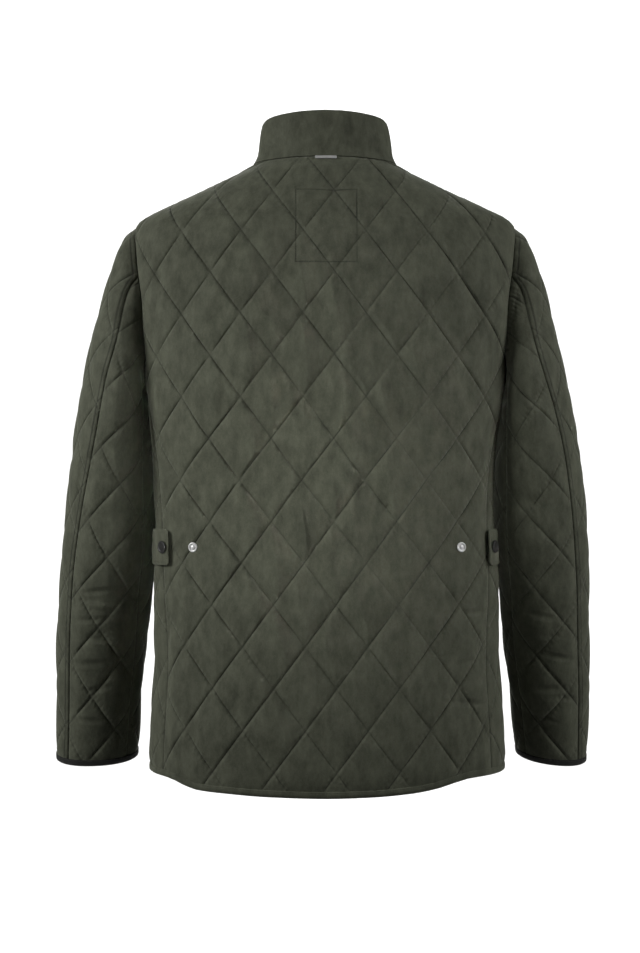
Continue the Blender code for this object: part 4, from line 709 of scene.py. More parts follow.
def mitre(first, second):
    """The thickness arrow where two walls meet, so that both keep their thickness."""
    both = first + second
    share = 1.0 + np.sum(first * second, axis=-1, keepdims=True)
    arrow = both / np.maximum(share, MITRE_LEAST)
    long = np.linalg.norm(arrow, axis=-1, keepdims=True)
    return arrow * np.minimum(1.0, MITRE_LONGEST / long) * WALL


def front_turn(turn):
    return np.where(turn >= 0, 180.0 - turn, -180.0 - turn)


def neck_z(turn):
    turns, seam_z, _ = columns(NECK)
    return curve(turns, seam_z, 180.0 - np.abs(180.0 - np.abs(turn)))


def hem_z(turn):
    turns, zs = columns(HEM)
    return curve(turns, zs, turn)


def collar_top(turn):
    turns, _, top_z = columns(NECK)
    z = curve(turns, top_z, 180.0 - np.abs(180.0 - np.abs(turn)))
    angle = np.radians(turn)
    depth = np.where(np.cos(angle) > 0, COLLAR_TOP_BACK, -COLLAR_TOP_FRONT)
    reach = oval_reach(angle, COLLAR_TOP_SIDE, depth, 2.05) - COLLAR_WALL
    return np.stack([reach * np.sin(angle), reach * np.cos(angle), z], axis=-1)


def collar_point(turn, up):
    """Inside face of the collar at a turn and a share of its height."""
    base = torso_point(turn, neck_z(turn))
    top = collar_top(turn)
    ups, moved = columns(COLLAR_LEVELS)
    share = curve(ups, moved, up)
    flat = base[..., :2] + (top - base)[..., :2] * np.asarray(share)[..., None]
    z = base[..., 2] + (top - base)[..., 2] * up
    return np.concatenate([flat, z[..., None]], axis=-1)


def collar_normal(turn, up):
    around = collar_point(turn + 1.0, up) - collar_point(turn - 1.0, up)
    rising = collar_point(turn, np.minimum(up + 0.02, 1.0)) - collar_point(turn, np.maximum(up - 0.02, 0.0))
    return -unit(np.cross(around, rising))

# %% Armhole
ARM_STEP = 2.0
ARM_CORNER = 144.0  # where the side seam and the inner sleeve seam meet the armhole
HEM_SIDE_TURN = SIDE_SEAM[-1][1]
CUFF_LIFT = 0.0013  # from the bottom of a binding to the edge inside it
SLEEVE_PROBE = 0.008  # how far down the sleeve its direction at the armhole is taken
OPEN_FROM, OPEN_OVER = 0.55, 0.50  # where the two walls start to meet at an open angle


class ArmholeNodes:
    """Where the body and the sleeve meet: a place, a wall arrow for each, and the angle round the body."""

    def __init__(self, side, turns):
        loop, around = armhole_loop(turns)
        self.points = loop * np.array([side, 1.0, 1.0])
        self.around = around * side
        skin, length = SLEEVES[side]
        column = np.interp(arm_turn(turns), TURNS, length)
        sleeve_normal = skin.normal(skin.flat(arm_turn(turns), column - SLEEVE_PROBE))
        body_normal = BACK_SKIN.normal(BACK_SKIN.flat(self.around, -self.points[:, 2]))
        joined = mitre(body_normal, sleeve_normal)
        share = 1.0 + np.sum(body_normal * sleeve_normal, axis=-1, keepdims=True)
        open_angle = np.clip((share - OPEN_FROM) / OPEN_OVER, 0.0, 1.0)
        self.walls = joined * open_angle + body_normal * WALL * (1 - open_angle)
        outer = self.points + self.walls + body_normal * GAP * (1 - open_angle)
        butted = outer - sleeve_normal * WALL
        self.sleeve_points = self.points * open_angle + butted * (1 - open_angle)
        self.sleeve_walls = outer - self.sleeve_points


def on_body(skin, turns, z):
    """Flat places on one of the body's two skins, by the angle round the body and the height."""
    return skin.flat(turns if skin is BACK_SKIN else front_turn(turns), -np.asarray(z))


def armhole_run(skin, side, turns):
    nodes = ArmholeNodes(side, turns)
    return on_body(skin, nodes.around, nodes.points[:, 2]), nodes.points, nodes.walls

# %% Shoulder and side seams
SHOULDER_SHARES = np.linspace(0.0, 1.0, 41)
COLLAR_PROBE = 0.06  # share of the collar's height at which its direction at the neck is taken


def shoulder_seam(side):
    """Nodes from the neck to the sleeve."""
    zs, turns = columns(SHOULDER)
    z = zs[0] + (zs[-1] - zs[0]) * SHOULDER_SHARES
    turn = curve(zs, turns, z)
    tip = ArmholeNodes(1, np.array([0.0]))
    z[0] = neck_z(turn[0])
    z[-1] = tip.points[0, 2]
    turn[-1] = tip.around[0]
    return turn * side, z


def side_seam(side):
    """Nodes from the armhole to the hem."""
    corner = ArmholeNodes(side, np.array([ARM_CORNER]))
    start = corner.points[0, 2]
    zs, turns = columns(SIDE_SEAM)
    zs = np.concatenate([[start], zs])
    turns = np.concatenate([[abs(corner.around[0])], turns])
    foot = hem_z(HEM_SIDE_TURN * side) + CUFF_LIFT
    z = np.concatenate([np.linspace(start, foot + 0.03, 90), np.linspace(foot + 0.026, foot, 8)])
    return curve(zs, turns, z) * side, z


def neck_run(skin, turns):
    z = neck_z(turns)
    flat = on_body(skin, turns, z)
    walls = mitre(skin.normal(flat), collar_normal(turns, np.full(len(turns), COLLAR_PROBE)))
    return flat, torso_point(turns, z), walls


def body_rows(skin, turns, z):
    flat = on_body(skin, turns, z)
    return flat, torso_point(turns, z), skin.normal(flat) * WALL


def shoulder_run(skin, side):
    turn, z = shoulder_seam(side)
    flat, points, walls = body_rows(skin, turn, z)
    _, neck_points, neck_walls = neck_run(BACK_SKIN, turn[:1])
    tip = ArmholeNodes(side, np.array([0.0]))
    points[0] = neck_points[0]
    walls[0] = neck_walls[0]
    points[-1] = tip.points[0]
    walls[-1] = tip.walls[0]
    return flat, points, walls


def side_run(skin, side):
    turn, z = side_seam(side)
    flat, points, walls = body_rows(skin, turn, z)
    corner = ArmholeNodes(side, np.array([ARM_CORNER]))
    points[0] = corner.points[0]
    walls[0] = corner.walls[0]
    return flat, points, walls

# %% Sleeve seams
def seam_turns(side, column):
    """Nodes up one sleeve seam: the turn and the height at each."""
    _, length = SLEEVES[side]
    up, *turns = columns(SLEEVE_SEAMS)
    kind = ("felled", "inner").index(column) * 2 + (0 if side > 0 else 1)
    share = np.linspace(0.0, 1.0, 130)
    turn = curve(up, turns[kind], share)
    whole = np.interp(turn, TURNS, length)
    v = CUFF_LIFT + (whole - CUFF_LIFT) * share
    return turn, v


def sleeve_seam_run(side, column, shift=0.0):
    skin, _ = SLEEVES[side]
    turn, v = seam_turns(side, column)
    flat = skin.flat(turn, v)
    points = skin.point(flat)
    walls = skin.normal(flat) * WALL
    top = ArmholeNodes(side, np.array([turn[-1]]))
    points[-1] = top.sleeve_points[0]
    walls[-1] = top.sleeve_walls[0]
    if shift:
        flat = skin.flat(turn + shift, v)
    return flat, points, walls


def sleeve_armhole_run(side, turns):
    """Armhole nodes on the sleeve, for turns that may count on past the inner seam."""
    skin, length = SLEEVES[side]
    nodes = ArmholeNodes(side, turns % 360.0)
    column = np.interp(turns, TURNS, length)
    return skin.flat(turns, column), nodes.sleeve_points, nodes.sleeve_walls


def cuff_run(side, turns):
    skin, _ = SLEEVES[side]
    flat = skin.flat(turns, np.full(len(turns), CUFF_LIFT))
    return flat, skin.point(flat), skin.normal(flat) * WALL


FELLED_FOOT = {1: SLEEVE_SEAMS[0][1], -1: SLEEVE_SEAMS[0][2]}
INNER_FOOT = {1: SLEEVE_SEAMS[0][3], -1: SLEEVE_SEAMS[0][4]}

# %% [markdown]
# The quilting stands up in the middle of each diamond and is pinned flat along its stitches. Where the arm or a
# tab presses on it, it stays low. Every diamond is filled a little differently, as loose wadding is.

# %% Quilting and folds
def squeezed(points):
    """Share of the quilting's height that is left at these points."""
    left = np.ones(points.shape[0])
    for x, y, z, reach_x, reach_y, reach_z, share in SQUEEZED:
        far = ((np.abs(points[:, 0]) - x) / reach_x) ** 2
        far = far + ((points[:, 1] - y) / reach_y) ** 2 + ((points[:, 2] - z) / reach_z) ** 2
        left = left * (1.0 - share * np.exp(-(far**2)))
    return left


def fold_height(piece, flat):
    total = np.zeros(flat.shape[:-1])
    for u, v, direction, half_long, half_wide, height in FOLDS[piece]:
        angle = math.radians(direction)
        du = flat[..., 0] - u
        dv = flat[..., 1] - v
        along = (du * math.cos(angle) + dv * math.sin(angle)) / half_long
        across = (dv * math.cos(angle) - du * math.sin(angle)) / half_wide
        total = total + height * np.exp(-(along**2) - across**2)
    return total


PUFF_FULL, PUFF_ROUND = 0.84, 0.36  # height in the middle of a diamond, and how steeply it rises to it
FILLED, UNEVENLY = 0.93, 0.13  # how full the diamonds are, and by how much they differ


def lattice(quilt, flat):
    """Places on the cloth counted in quilting lines, whole numbers on each line."""
    u0, v0, wide, tall, lean = quilt
    a = (flat[..., 0] - u0 - lean * (flat[..., 1] - v0)) / wide
    b = (flat[..., 1] - v0) / tall
    return np.stack([a + b, a - b], axis=-1)


def puff(quilt, flat):
    """Height of the quilting, from 0 on a stitched line to about 1 in the middle of a diamond."""
    counted = lattice(quilt, flat)
    both = np.abs(np.sin(np.pi * counted[..., 0]) * np.sin(np.pi * counted[..., 1]))
    cells = np.floor(counted)
    filled = FILLED + UNEVENLY * np.sin(cells[..., 0] * 2.31 + cells[..., 1] * 5.17 + 1.3)
    return PUFF_FULL * both**PUFF_ROUND * filled


def drift(flat):
    """A slow unevenness of the hanging cloth, a sum of a few long waves."""
    u, v = flat[..., 0], flat[..., 1]
    waves = ((41.0, 9.0, 0.4), (17.0, -33.0, 1.9), (-29.0, 47.0, 3.1), (63.0, 22.0, 5.2), (8.0, 71.0, 0.9))
    return sum(np.sin(a * u + b * v + c) for a, b, c in waves) / len(waves)

# %% [markdown]
# A panel starts flat, with the outline of the cut cloth. Two rings inside the outline give it the narrow strips
# where a seam rolls over, and plane cuts rule it along the quilting, close together beside each stitched line. An
# extrusion gives the thickness. Only then is each point bent to its place, so the ruled lines stay true.

# %% Cutting and ruling the flat cloth
SEAM_STRIPS = ((0.0012, 0.25), (0.0038, 0.60))  # depth of each ring, and its share of the room in a sharp corner
SHARP_TURN = 0.6  # radians
SEAM_GAP = 0.00012  # between two panels at a seam
SEAM_PROBE = 0.006  # how far in from a seam the cloth's direction is taken
RULED = (0.0, 0.0013, 0.0040, 0.0080, 0.0130, 0.0190, 0.0250)  # distances of the cuts from a quilting line
SAME_PLACE = 0.0002  # points closer than this are joined
BATCH = 2000  # points that are measured at once


def along_outline(outline, points):
    """Distance of each point from a closed line, and the node where its nearest run starts."""
    run = np.roll(outline, -1, axis=0) - outline
    length = np.maximum(np.sum(run**2, axis=1), 1e-14)
    away = np.empty(len(points))
    node = np.empty(len(points), int)
    for k in range(0, len(points), BATCH):
        some = points[k : k + BATCH, None, :]
        t = np.clip(np.sum((some - outline) * run, axis=2) / length, 0.0, 1.0)
        gap = np.linalg.norm(some - (outline + t[..., None] * run), axis=2)
        best = np.argmin(gap, axis=1)
        node[k : k + BATCH] = best
        away[k : k + BATCH] = gap[np.arange(len(best)), best]
    return away, node


def carried(outline, points, tables):
    """Values along a closed line carried to the points beside it, each a mix that favours the nearest runs."""
    run = np.roll(outline, -1, axis=0) - outline
    length = np.maximum(np.linalg.norm(run, axis=1), 1e-7)
    out = np.empty((len(tables), len(points), 3))
    for k in range(0, len(points), BATCH):
        some = points[k : k + BATCH, None, :]
        t = np.clip(np.sum((some - outline) * run, axis=2) / length**2, 0.0, 1.0)
        gap = np.sum((some - (outline + t[..., None] * run)) ** 2, axis=2)
        weight = length / (gap + 1e-10) ** 2
        weight /= weight.sum(axis=1, keepdims=True)
        for row, table in enumerate(tables):
            out[row, k : k + BATCH] = (weight * (1 - t)) @ table + (weight * t) @ np.roll(table, -1, axis=0)
    return out


def runs_beside(outline):
    """The directions of a closed line before and after each node."""
    return unit(outline - np.roll(outline, 1, axis=0)), unit(np.roll(outline, -1, axis=0) - outline)


def turns_left(outline):
    """Whether a closed line runs anticlockwise."""
    after = np.roll(outline, -1, axis=0)
    return np.sum(outline[:, 0] * after[:, 1] - after[:, 0] * outline[:, 1]) > 0


def inset_ring(outline, depth, share):
    """The outline moved in by a depth, and by less near a sharp corner so that the strip never folds over."""
    first, second = runs_beside(outline)
    turn = np.arctan2(first[:, 0] * second[:, 1] - first[:, 1] * second[:, 0], np.sum(first * second, axis=1))
    both = unit(first + second)
    inward = np.stack([-both[:, 1], both[:, 0]], axis=-1)
    step = np.linalg.norm(np.roll(outline, -1, axis=0) - outline, axis=1)
    *along, total = summed(step)
    along = np.array(along)
    deep = np.full(len(outline), depth)
    for corner in np.where(turn > SHARP_TURN)[0]:
        far = np.abs(along - along[corner])
        far = np.minimum(far, total - far)
        far[corner] = min(step[corner], step[corner - 1])
        slope = np.full(len(outline), math.tan((math.pi - turn[corner]) / 2))
        slope[corner] = 1.0
        deep = np.minimum(deep, share * far * slope)
    return outline + inward * deep[:, None]


def cut_cloth(outline, quilt):
    """The flat cloth as a bmesh, ruled along both ways of the quilting."""
    u0, v0, wide, tall, lean = quilt
    origin = np.array([u0, v0])
    made = bmesh.new()
    outer = outline if turns_left(outline) else outline[::-1]
    rings = [outer] + [inset_ring(outer, *strip) for strip in SEAM_STRIPS]
    rings = [[made.verts.new((u, v, 0.0)) for u, v in ring] for ring in rings]
    for outside, inside in zip(rings, rings[1:]):
        for k in range(len(outside)):
            made.faces.new([outside[k - 1], outside[k], inside[k], inside[k - 1]])
    made.faces.new(rings[-1])
    for way in (1.0, -1.0):
        slope = np.array([1.0 / wide, way / tall - lean / wide])
        spacing = 1.0 / np.linalg.norm(slope)
        normal = slope * spacing
        counted = (outline - origin) @ slope
        cuts = sorted({side * far for far in RULED for side in (1.0, -1.0)} | {spacing / 2})
        cuts = [far for far in cuts if abs(far) <= spacing / 2 + 1e-6]
        for line in range(math.floor(counted.min()) - 1, math.ceil(counted.max()) + 2):
            for far in cuts:
                place = origin + normal * (line * spacing + far)
                everything = made.verts[:] + made.edges[:] + made.faces[:]
                plane = {"plane_co": (*place, 0.0), "plane_no": (*normal, 0.0)}
                bmesh.ops.bisect_plane(made, geom=everything, dist=1e-6, **plane)
    bmesh.ops.remove_doubles(made, verts=made.verts, dist=SAME_PLACE)
    bmesh.ops.triangulate(made, faces=[f for f in made.faces if len(f.verts) > 4])
    return made


def shifted(skin, outline, base):
    """The outline moved inwards by half of the gap at a seam, flat and in space."""
    first, second = runs_beside(outline)
    both = first + second
    side = 1.0 if turns_left(outline) else -1.0
    inward = unit(np.stack([-both[:, 1], both[:, 0]], axis=-1) * side)
    move = skin.point(outline + inward * SEAM_PROBE) - skin.point(outline)
    return outline + inward * SEAM_GAP / 2, base + unit(move) * SEAM_GAP / 2

# %% From a bmesh to a finished piece
MADE = {}


def verts_of(geom):
    return [part for part in geom if isinstance(part, bmesh.types.BMVert)]


def thickened(made):
    """Adds a second layer to a flat bmesh. Gives each point's flat place, and whether it is in that layer."""
    lifted = bmesh.ops.extrude_face_region(made, geom=made.faces[:])["geom"]
    bmesh.ops.translate(made, verts=verts_of(lifted), vec=(0, 0, 1))
    co = np.array([v.co[:] for v in made.verts])
    return co[:, :2], co[:, 2] > 0.5


def mesh_object(name, made, look):
    """A smooth object from a bmesh, with its finish."""
    for face in made.faces:
        face.smooth = True
    mesh = bpy.data.meshes.new(name)
    made.to_mesh(mesh)
    made.free()
    mesh.materials.append(look)
    piece = bpy.data.objects.new(name, mesh)
    bpy.context.scene.collection.objects.link(piece)
    return piece


def finish_piece(name, made, look, nodes, sharp=50.0):
    """A mesh object from a bmesh: faces outwards, smooth but for its sharp edges, riding on the jacket."""
    bmesh.ops.recalc_face_normals(made, faces=made.faces)
    if made.calc_volume(signed=True) < 0:
        bmesh.ops.reverse_faces(made, faces=made.faces)
    limit = math.radians(sharp)
    for edge in made.edges:
        edge.smooth = len(edge.link_faces) != 2 or edge.calc_face_angle(0.0) < limit
    piece = mesh_object(name, made, look)
    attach(piece, "jacket")
    if nodes:
        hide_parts(*nodes)
    MADE[name] = piece
    return piece

# %% Bending a panel
HOLD = 0.012  # how far in from a seam the cloth follows the seam's own line
FADE = 0.030  # how far in the folds reach their full height
DRIFT = 0.0009  # height of the slow unevenness
SOFT_FROM, SOFT_OVER = 0.002, 0.016  # where the wadding starts to rise beside a seam, and over what distance
LIP_LOW, LIP_RISE, LIP_WIDE = 0.42, 0.58, 0.0042  # the wall's thickness at its edge, its rise, and over how much
PUCKER = 0.00045  # height of the small gathers beside a seam
PUCKER_WAVES = (0.0021, 0.013, 0.017)  # how close they are, and two slower waves that make them uneven
PUCKER_IN, PUCKER_REACH = 0.007, 0.006
FELLED_WIDE = 0.0072  # the double cloth beside the sleeve's felled seam
FELLED_HIGH = 0.0005
FELLED_FAR, FELLED_NEAR = 0.0012, 0.001  # widths of its two slopes


def puckers(outline, node, away):
    """Small gathers where a seam's thread draws the cloth in, by the node beside each point."""
    at = summed(np.linalg.norm(np.diff(outline, axis=0), axis=1))[node]
    fine, slow, slower = PUCKER_WAVES
    wave = np.sin(at / fine + 2.0 * np.sin(at / slow)) * np.sin(at / slower)
    return PUCKER * wave * np.exp(-(((away - PUCKER_IN) / PUCKER_REACH) ** 2))


def panel(name, skin, runs, felled=None):
    """A quilted panel from the runs of its outline, each (flat, points, walls) up to the next run's first node."""
    outline, base, wall = (np.concatenate([run[k][:-1] for run in runs]) for k in range(3))
    outline, base = shifted(skin, outline, base)
    quilt = QUILT[name]
    made = cut_cloth(outline, quilt)
    flat, outer = thickened(made)
    away, node = along_outline(outline, flat)
    off_base = base - skin.point(outline)
    off_wall = wall - skin.normal(outline) * WALL
    by_base, by_wall = carried(outline, flat, (off_base, off_wall))
    hold = np.exp(-((away / HOLD) ** 2))[:, None]
    normal = skin.normal(flat)
    inner = skin.point(flat) + by_base * hold
    bend = fold_height(name, flat) + DRIFT * drift(flat)
    inner += normal * (bend * np.clip(away / FADE, 0.0, 1.0))[:, None]
    soft = np.clip((away - SOFT_FROM) / SOFT_OVER, 0.0, 1.0)
    soft = soft * soft * (3 - 2 * soft)
    lip = LIP_LOW + LIP_RISE * np.sin(np.clip(away / LIP_WIDE, 0.0, 1.0) * np.pi / 2)
    high = WALL * lip + PUFF * puff(quilt, flat) * soft * squeezed(inner) + puckers(outline, node, away)
    if felled is not None:
        beside, _ = along_outline(felled, flat)
        far_slope = np.clip((FELLED_WIDE - beside) / FELLED_FAR, 0.0, 1.0)
        high += FELLED_HIGH * far_slope * np.clip(beside / FELLED_NEAR, 0.0, 1.0)
    grow = normal * high[:, None] + by_wall * hold * lip[:, None]
    place = np.where(outer[:, None], inner + grow, inner)
    counted = made.loops.layers.uv.new("quilt")
    cloth = made.loops.layers.uv.new("cloth")
    edge = made.loops.layers.uv.new("edge")
    lines = lattice(quilt, flat)
    made.verts.index_update()
    for face in made.faces:
        for loop in face.loops:
            k = loop.vert.index
            loop[counted].uv = lines[k]
            loop[cloth].uv = flat[k]
            loop[edge].uv = (away[k], float(outer[k]))
    for vert in made.verts:
        vert.co = place[vert.index]
    cut = 0.5 * sum(f.calc_area() for f in made.faces)
    piece = finish_piece(name + "_cloth", made, CLOTHS[name], [name])
    size = outline.max(axis=0) - outline.min(axis=0)
    long = max(float(size[1]), 1.05 * cut / float(size[0]))
    cut * 0.99
    print(name, "faces", len(piece.data.polygons), "flat", [round(float(s), 3) for s in size], "area", round(cut, 4))

# %% Runs of an outline
NECK_FRONT = 0.0755  # from the neck's middle to the top of the zip


def reversed_run(run):
    return tuple(part[::-1] for part in run)


def front_edge_turn(z):
    """Turn of the left front's edge beside the zip at a height."""
    reach = np.abs(torso_point(180.0, z)[..., 1])
    return 180.0 - np.degrees(ZIP_OPENING / reach)


NECK_SHOULDER_TURN = SHOULDER[0][1]
FRONT_EDGE_TURN = 180.0 - math.degrees(ZIP_OPENING / NECK_FRONT)
HEM_BACK_TURNS = np.linspace(-HEM_SIDE_TURN, HEM_SIDE_TURN, 121)
HEM_FRONT_TURNS = np.linspace(HEM_SIDE_TURN, float(front_edge_turn(-0.757)), 90)

# %% [markdown]
# The cloth is a dark olive shell with a short nap, like brushed microfibre, so its colour is mottled. The
# stitched lines sink in, with painted shade in their grooves and along the seams, and the thread shows as short
# dashes with a painted highlight. High on the jacket one family of lines shows stronger, and lower down the
# other does, as the light falls on them; their painted shade follows. Small puckers cross each line.

# %% Small creases of the shell
SMALL_CREASES = {
    # piece: u, v, direction, half_long, half_wide, height
    "back": (
        (0.1436, 0.2980, 90.0, 0.024, 0.0060, -0.0012),
        (0.1336, 0.2900, 88.0, 0.030, 0.0060, 0.0010),
        (0.1230, 0.3080, 92.0, 0.024, 0.0060, -0.0012),
        (0.1024, 0.2340, 91.0, 0.030, 0.0070, -0.0010),
        (0.0950, 0.2360, 89.0, 0.026, 0.0060, 0.0009),
        (0.0968, 0.1780, 92.0, 0.028, 0.0080, -0.0009),
        (-0.0596, 0.2480, 88.0, 0.032, 0.0050, -0.0013),
        (-0.0184, 0.3030, 94.0, 0.030, 0.0055, -0.0012),
        (-0.0529, 0.3320, 89.0, 0.028, 0.0070, -0.0013),
        (-0.0752, 0.4300, 60.0, 0.010, 0.0045, -0.0009),
        (-0.2041, 0.2385, 88.0, 0.034, 0.0060, -0.0012),
        (0.0335, 0.2150, 88.0, 0.026, 0.0070, -0.0007),
        (0.2088, 0.1535, 84.0, 0.034, 0.0080, -0.0012),
        (0.2128, 0.1968, 90.0, 0.030, 0.0080, -0.0011),
        (0.2057, 0.5930, 80.0, 0.024, 0.0055, -0.0011),
        (0.2115, 0.6680, 70.0, 0.020, 0.0050, -0.0011),
        (-0.1866, 0.5572, 4.0, 0.018, 0.0042, -0.0012),
        (-0.1723, 0.6680, -6.0, 0.026, 0.0045, -0.0012),
        (-0.1769, 0.6170, 10.0, 0.018, 0.0042, -0.0010),
    ),
    "under_sleeve_left": (
        (0.0874, 0.2330, 8.0, 0.020, 0.0045, -0.0012),
        (0.0850, 0.2145, -6.0, 0.018, 0.0045, 0.0009),
        (0.0793, 0.1960, 4.0, 0.020, 0.0045, -0.0011),
        (0.0891, 0.1700, -8.0, 0.018, 0.0045, -0.0010),
        (0.0800, 0.1386, 3.0, 0.026, 0.0055, -0.0014),
        (0.0822, 0.1045, 10.0, 0.018, 0.0045, -0.0009),
        (0.0713, 0.0626, -4.0, 0.018, 0.0045, -0.0010),
    ),
    "under_sleeve_right": (
        (0.1010, 0.1995, 6.0, 0.020, 0.0045, -0.0012),
        (0.0944, 0.1680, -5.0, 0.020, 0.0045, 0.0009),
        (0.0740, 0.1470, 8.0, 0.020, 0.0045, -0.0012),
        (0.0766, 0.1040, -6.0, 0.022, 0.0050, -0.0011),
        (0.0600, 0.0920, 4.0, 0.016, 0.0045, -0.0009),
        (0.0912, 0.0630, 8.0, 0.022, 0.0045, -0.0012),
    ),
    "front_left": (
        (0.1400, 0.2700, 84.0, 0.034, 0.0070, -0.0012),
        (0.1300, 0.2600, 88.0, 0.030, 0.0060, 0.0010),
        (0.0900, 0.4300, 92.0, 0.030, 0.0060, -0.0012),
        (0.2000, 0.5600, 8.0, 0.020, 0.0045, -0.0012),
        (0.1800, 0.6500, -6.0, 0.024, 0.0045, -0.0011),
    ),
    "front_right": (
        (-0.1350, 0.2600, 96.0, 0.034, 0.0070, -0.0012),
        (-0.1250, 0.2700, 91.0, 0.030, 0.0060, 0.0010),
        (-0.0950, 0.4500, 87.0, 0.030, 0.0060, -0.0012),
        (-0.1950, 0.5800, -8.0, 0.020, 0.0045, -0.0012),
        (-0.1850, 0.6600, 5.0, 0.024, 0.0045, -0.0011),
    ),
    "upper_sleeve_left": (
        (-0.2300, 0.4100, 12.0, 0.028, 0.0060, -0.0013),
        (-0.2200, 0.3500, -8.0, 0.026, 0.0055, -0.0012),
        (-0.1000, 0.1300, 6.0, 0.024, 0.0050, -0.0011),
        (0.0100, 0.2500, -5.0, 0.018, 0.0045, -0.0010),
    ),
    "upper_sleeve_right": (
        (-0.2300, 0.4000, -12.0, 0.028, 0.0060, -0.0013),
        (-0.2200, 0.3400, 8.0, 0.026, 0.0055, -0.0012),
        (-0.1000, 0.1400, -6.0, 0.024, 0.0050, -0.0011),
        (0.0100, 0.2600, 5.0, 0.018, 0.0045, -0.0010),
    ),
}


CREASE_REACH = 1.5  # in half sizes, from a crease's middle to where it ends
CREASE_RISE = 1.4


def small_creases(s, piece):
    """Height of the piece's small creases, each a soft long dent or ridge on the flat cloth."""
    flat = s.add("UVMap", {"uv_map": "cloth"})
    total = 0.0
    for u, v, direction, half_long, half_wide, height in SMALL_CREASES[piece]:
        turned = (0.0, 0.0, math.radians(direction))
        size = (half_long * CREASE_REACH, half_wide * CREASE_REACH, 1.0)
        place = {"Location": (u, v, 0.0), "Rotation": turned, "Scale": size}
        local = s.add("Mapping", {"vector_type": "TEXTURE"}, Vector=flat, **place)
        away = s.add("VectorMath", {"operation": "LENGTH"}, out=1, i0=local)
        total = away.near(1.0) * (CREASE_RISE * height) + total
    return total


print("small creases", sum(len(rows) for rows in SMALL_CREASES.values()))

# %% Quilted cloth finish
# Colour of the painted shade in the grooves of the quilting lines and seams.
OLIVE_PAINTED_SHADE = (0.0150, 0.0160, 0.0100, 1.0)
# Colour of the painted highlight on the thread's dashes.
OLIVE_THREAD_HIGHLIGHT = (0.100, 0.104, 0.076, 1.0)
SHELL_LOW = (0.0390, 0.0420, 0.0270, 1.0)
SHELL_HIGH = (0.0955, 0.1020, 0.0700, 1.0)
SHEEN_TINT = (0.80, 0.84, 0.68, 1.0)
# Half widths of what a stitched line leaves in the cloth, and of a seam's painted shade.
SUNK_WIDE, VALLEY_WIDE, THREAD_WIDE, RIPPLE_WIDE = 0.0013, 0.0042, 0.00042, 0.0105
SEAM_WIDE, FELL_WIDE, BOX_WIDE = 0.0016, 0.0020, 0.0014
# Heights and depths of the cloth's relief.
NAP_HIGH, MOTTLE_HIGH, RIPPLE_HIGH, THREAD_HIGH = 0.00016, 0.00090, 0.00016, 0.00022
VALLEY_DEEP, SUNK_DEEP, SEAM_DEEP = 0.00045, 0.00030, 0.00030
# Shares of the painted shade colour at a seam, a felled seam, the stitched rectangle and a quilting line, where
# shade falls in their grooves.
SEAM_SHADE, FELL_SHADE, BOX_SHADE, SUNK_SHADE = 0.42, 0.75, 0.80, 0.78
THREAD_HIGHLIGHT = 0.30  # share of the light colour painted on the thread as a highlight
RIPPLES = 900.0  # puckers along a line, in radians to a metre
DASH = 0.74  # share of the line that the thread covers
DARKEST = 0.88  # share of the painted shade colour in the deepest mark
STITCH = 0.0034  # from one stitch to the next
FELL = 0.0052  # from the sleeve's seam to its outer row of stitches
BOX_LEFT, BOX_RIGHT = 0.0357, -0.0386  # the stitched rectangle on the upper back
BOX_TOP, BOX_LOW = -0.0405, -0.1308
WAY_SWAP_LOW, WAY_SWAP_HIGH = -0.38, -0.20  # heights between which the stronger way of lines changes over, as the light falls on them
WAY_STRENGTH = {
    # how strongly the two ways of lines show, in relief and in painted shade, high then low for the first, high then
    # low for the second
    "back": (1.0, 0.45, 0.30, 1.0),
    "front": (0.9, 0.60, 0.60, 0.9),
    "under": (0.45, 0.45, 1.0, 1.0),
    "upper": (0.70, 0.70, 0.90, 0.90),
}


def nap(s, colour_low, colour_high):
    """Mottled colour and the small relief of a short nap, on the piece's own place in metres."""
    spot = s.add("TexCoord", out=3)
    drawn = s.add("VectorMath", {"operation": "MULTIPLY"}, i0=spot, i1=(1.0, 1.0, 0.55))
    cloudy = drawn.noise(70.0, 5.0, Roughness=0.66)
    fine = spot.noise(620.0, 2.0, Roughness=0.7)
    hairs = spot.noise(1900.0, 1.0, Roughness=0.6)
    shade = (cloudy - 0.5) * 2.1 + (fine - 0.5) * 0.50 + (hairs - 0.5) * 0.30 + 0.5
    return shade.mix(colour_low, colour_high), cloudy, fine + hairs * 0.5


def cloth_start(name, rough, sheen):
    """A material with the soft sheen of the shell."""
    soft = {"Sheen_Weight": sheen, "Sheen_Roughness": 0.42, "Sheen_Tint": SHEEN_TINT}
    return start(name, Roughness=rough, Specular_IOR_Level=0.30, **soft)


def box_line(s, flat):
    """1 on the stitched rectangle of the upper back."""
    across = s.add("SeparateXYZ", Vector=flat)
    down = across.output(1)
    wide = (across - (BOX_LEFT + BOX_RIGHT) / 2).math("ABSOLUTE") - (BOX_LEFT - BOX_RIGHT) / 2
    tall = (down + (BOX_TOP + BOX_LOW) / 2).math("ABSOLUTE") - (BOX_TOP - BOX_LOW) / 2
    return wide.math("MAXIMUM", tall).math("ABSOLUTE").near(BOX_WIDE)


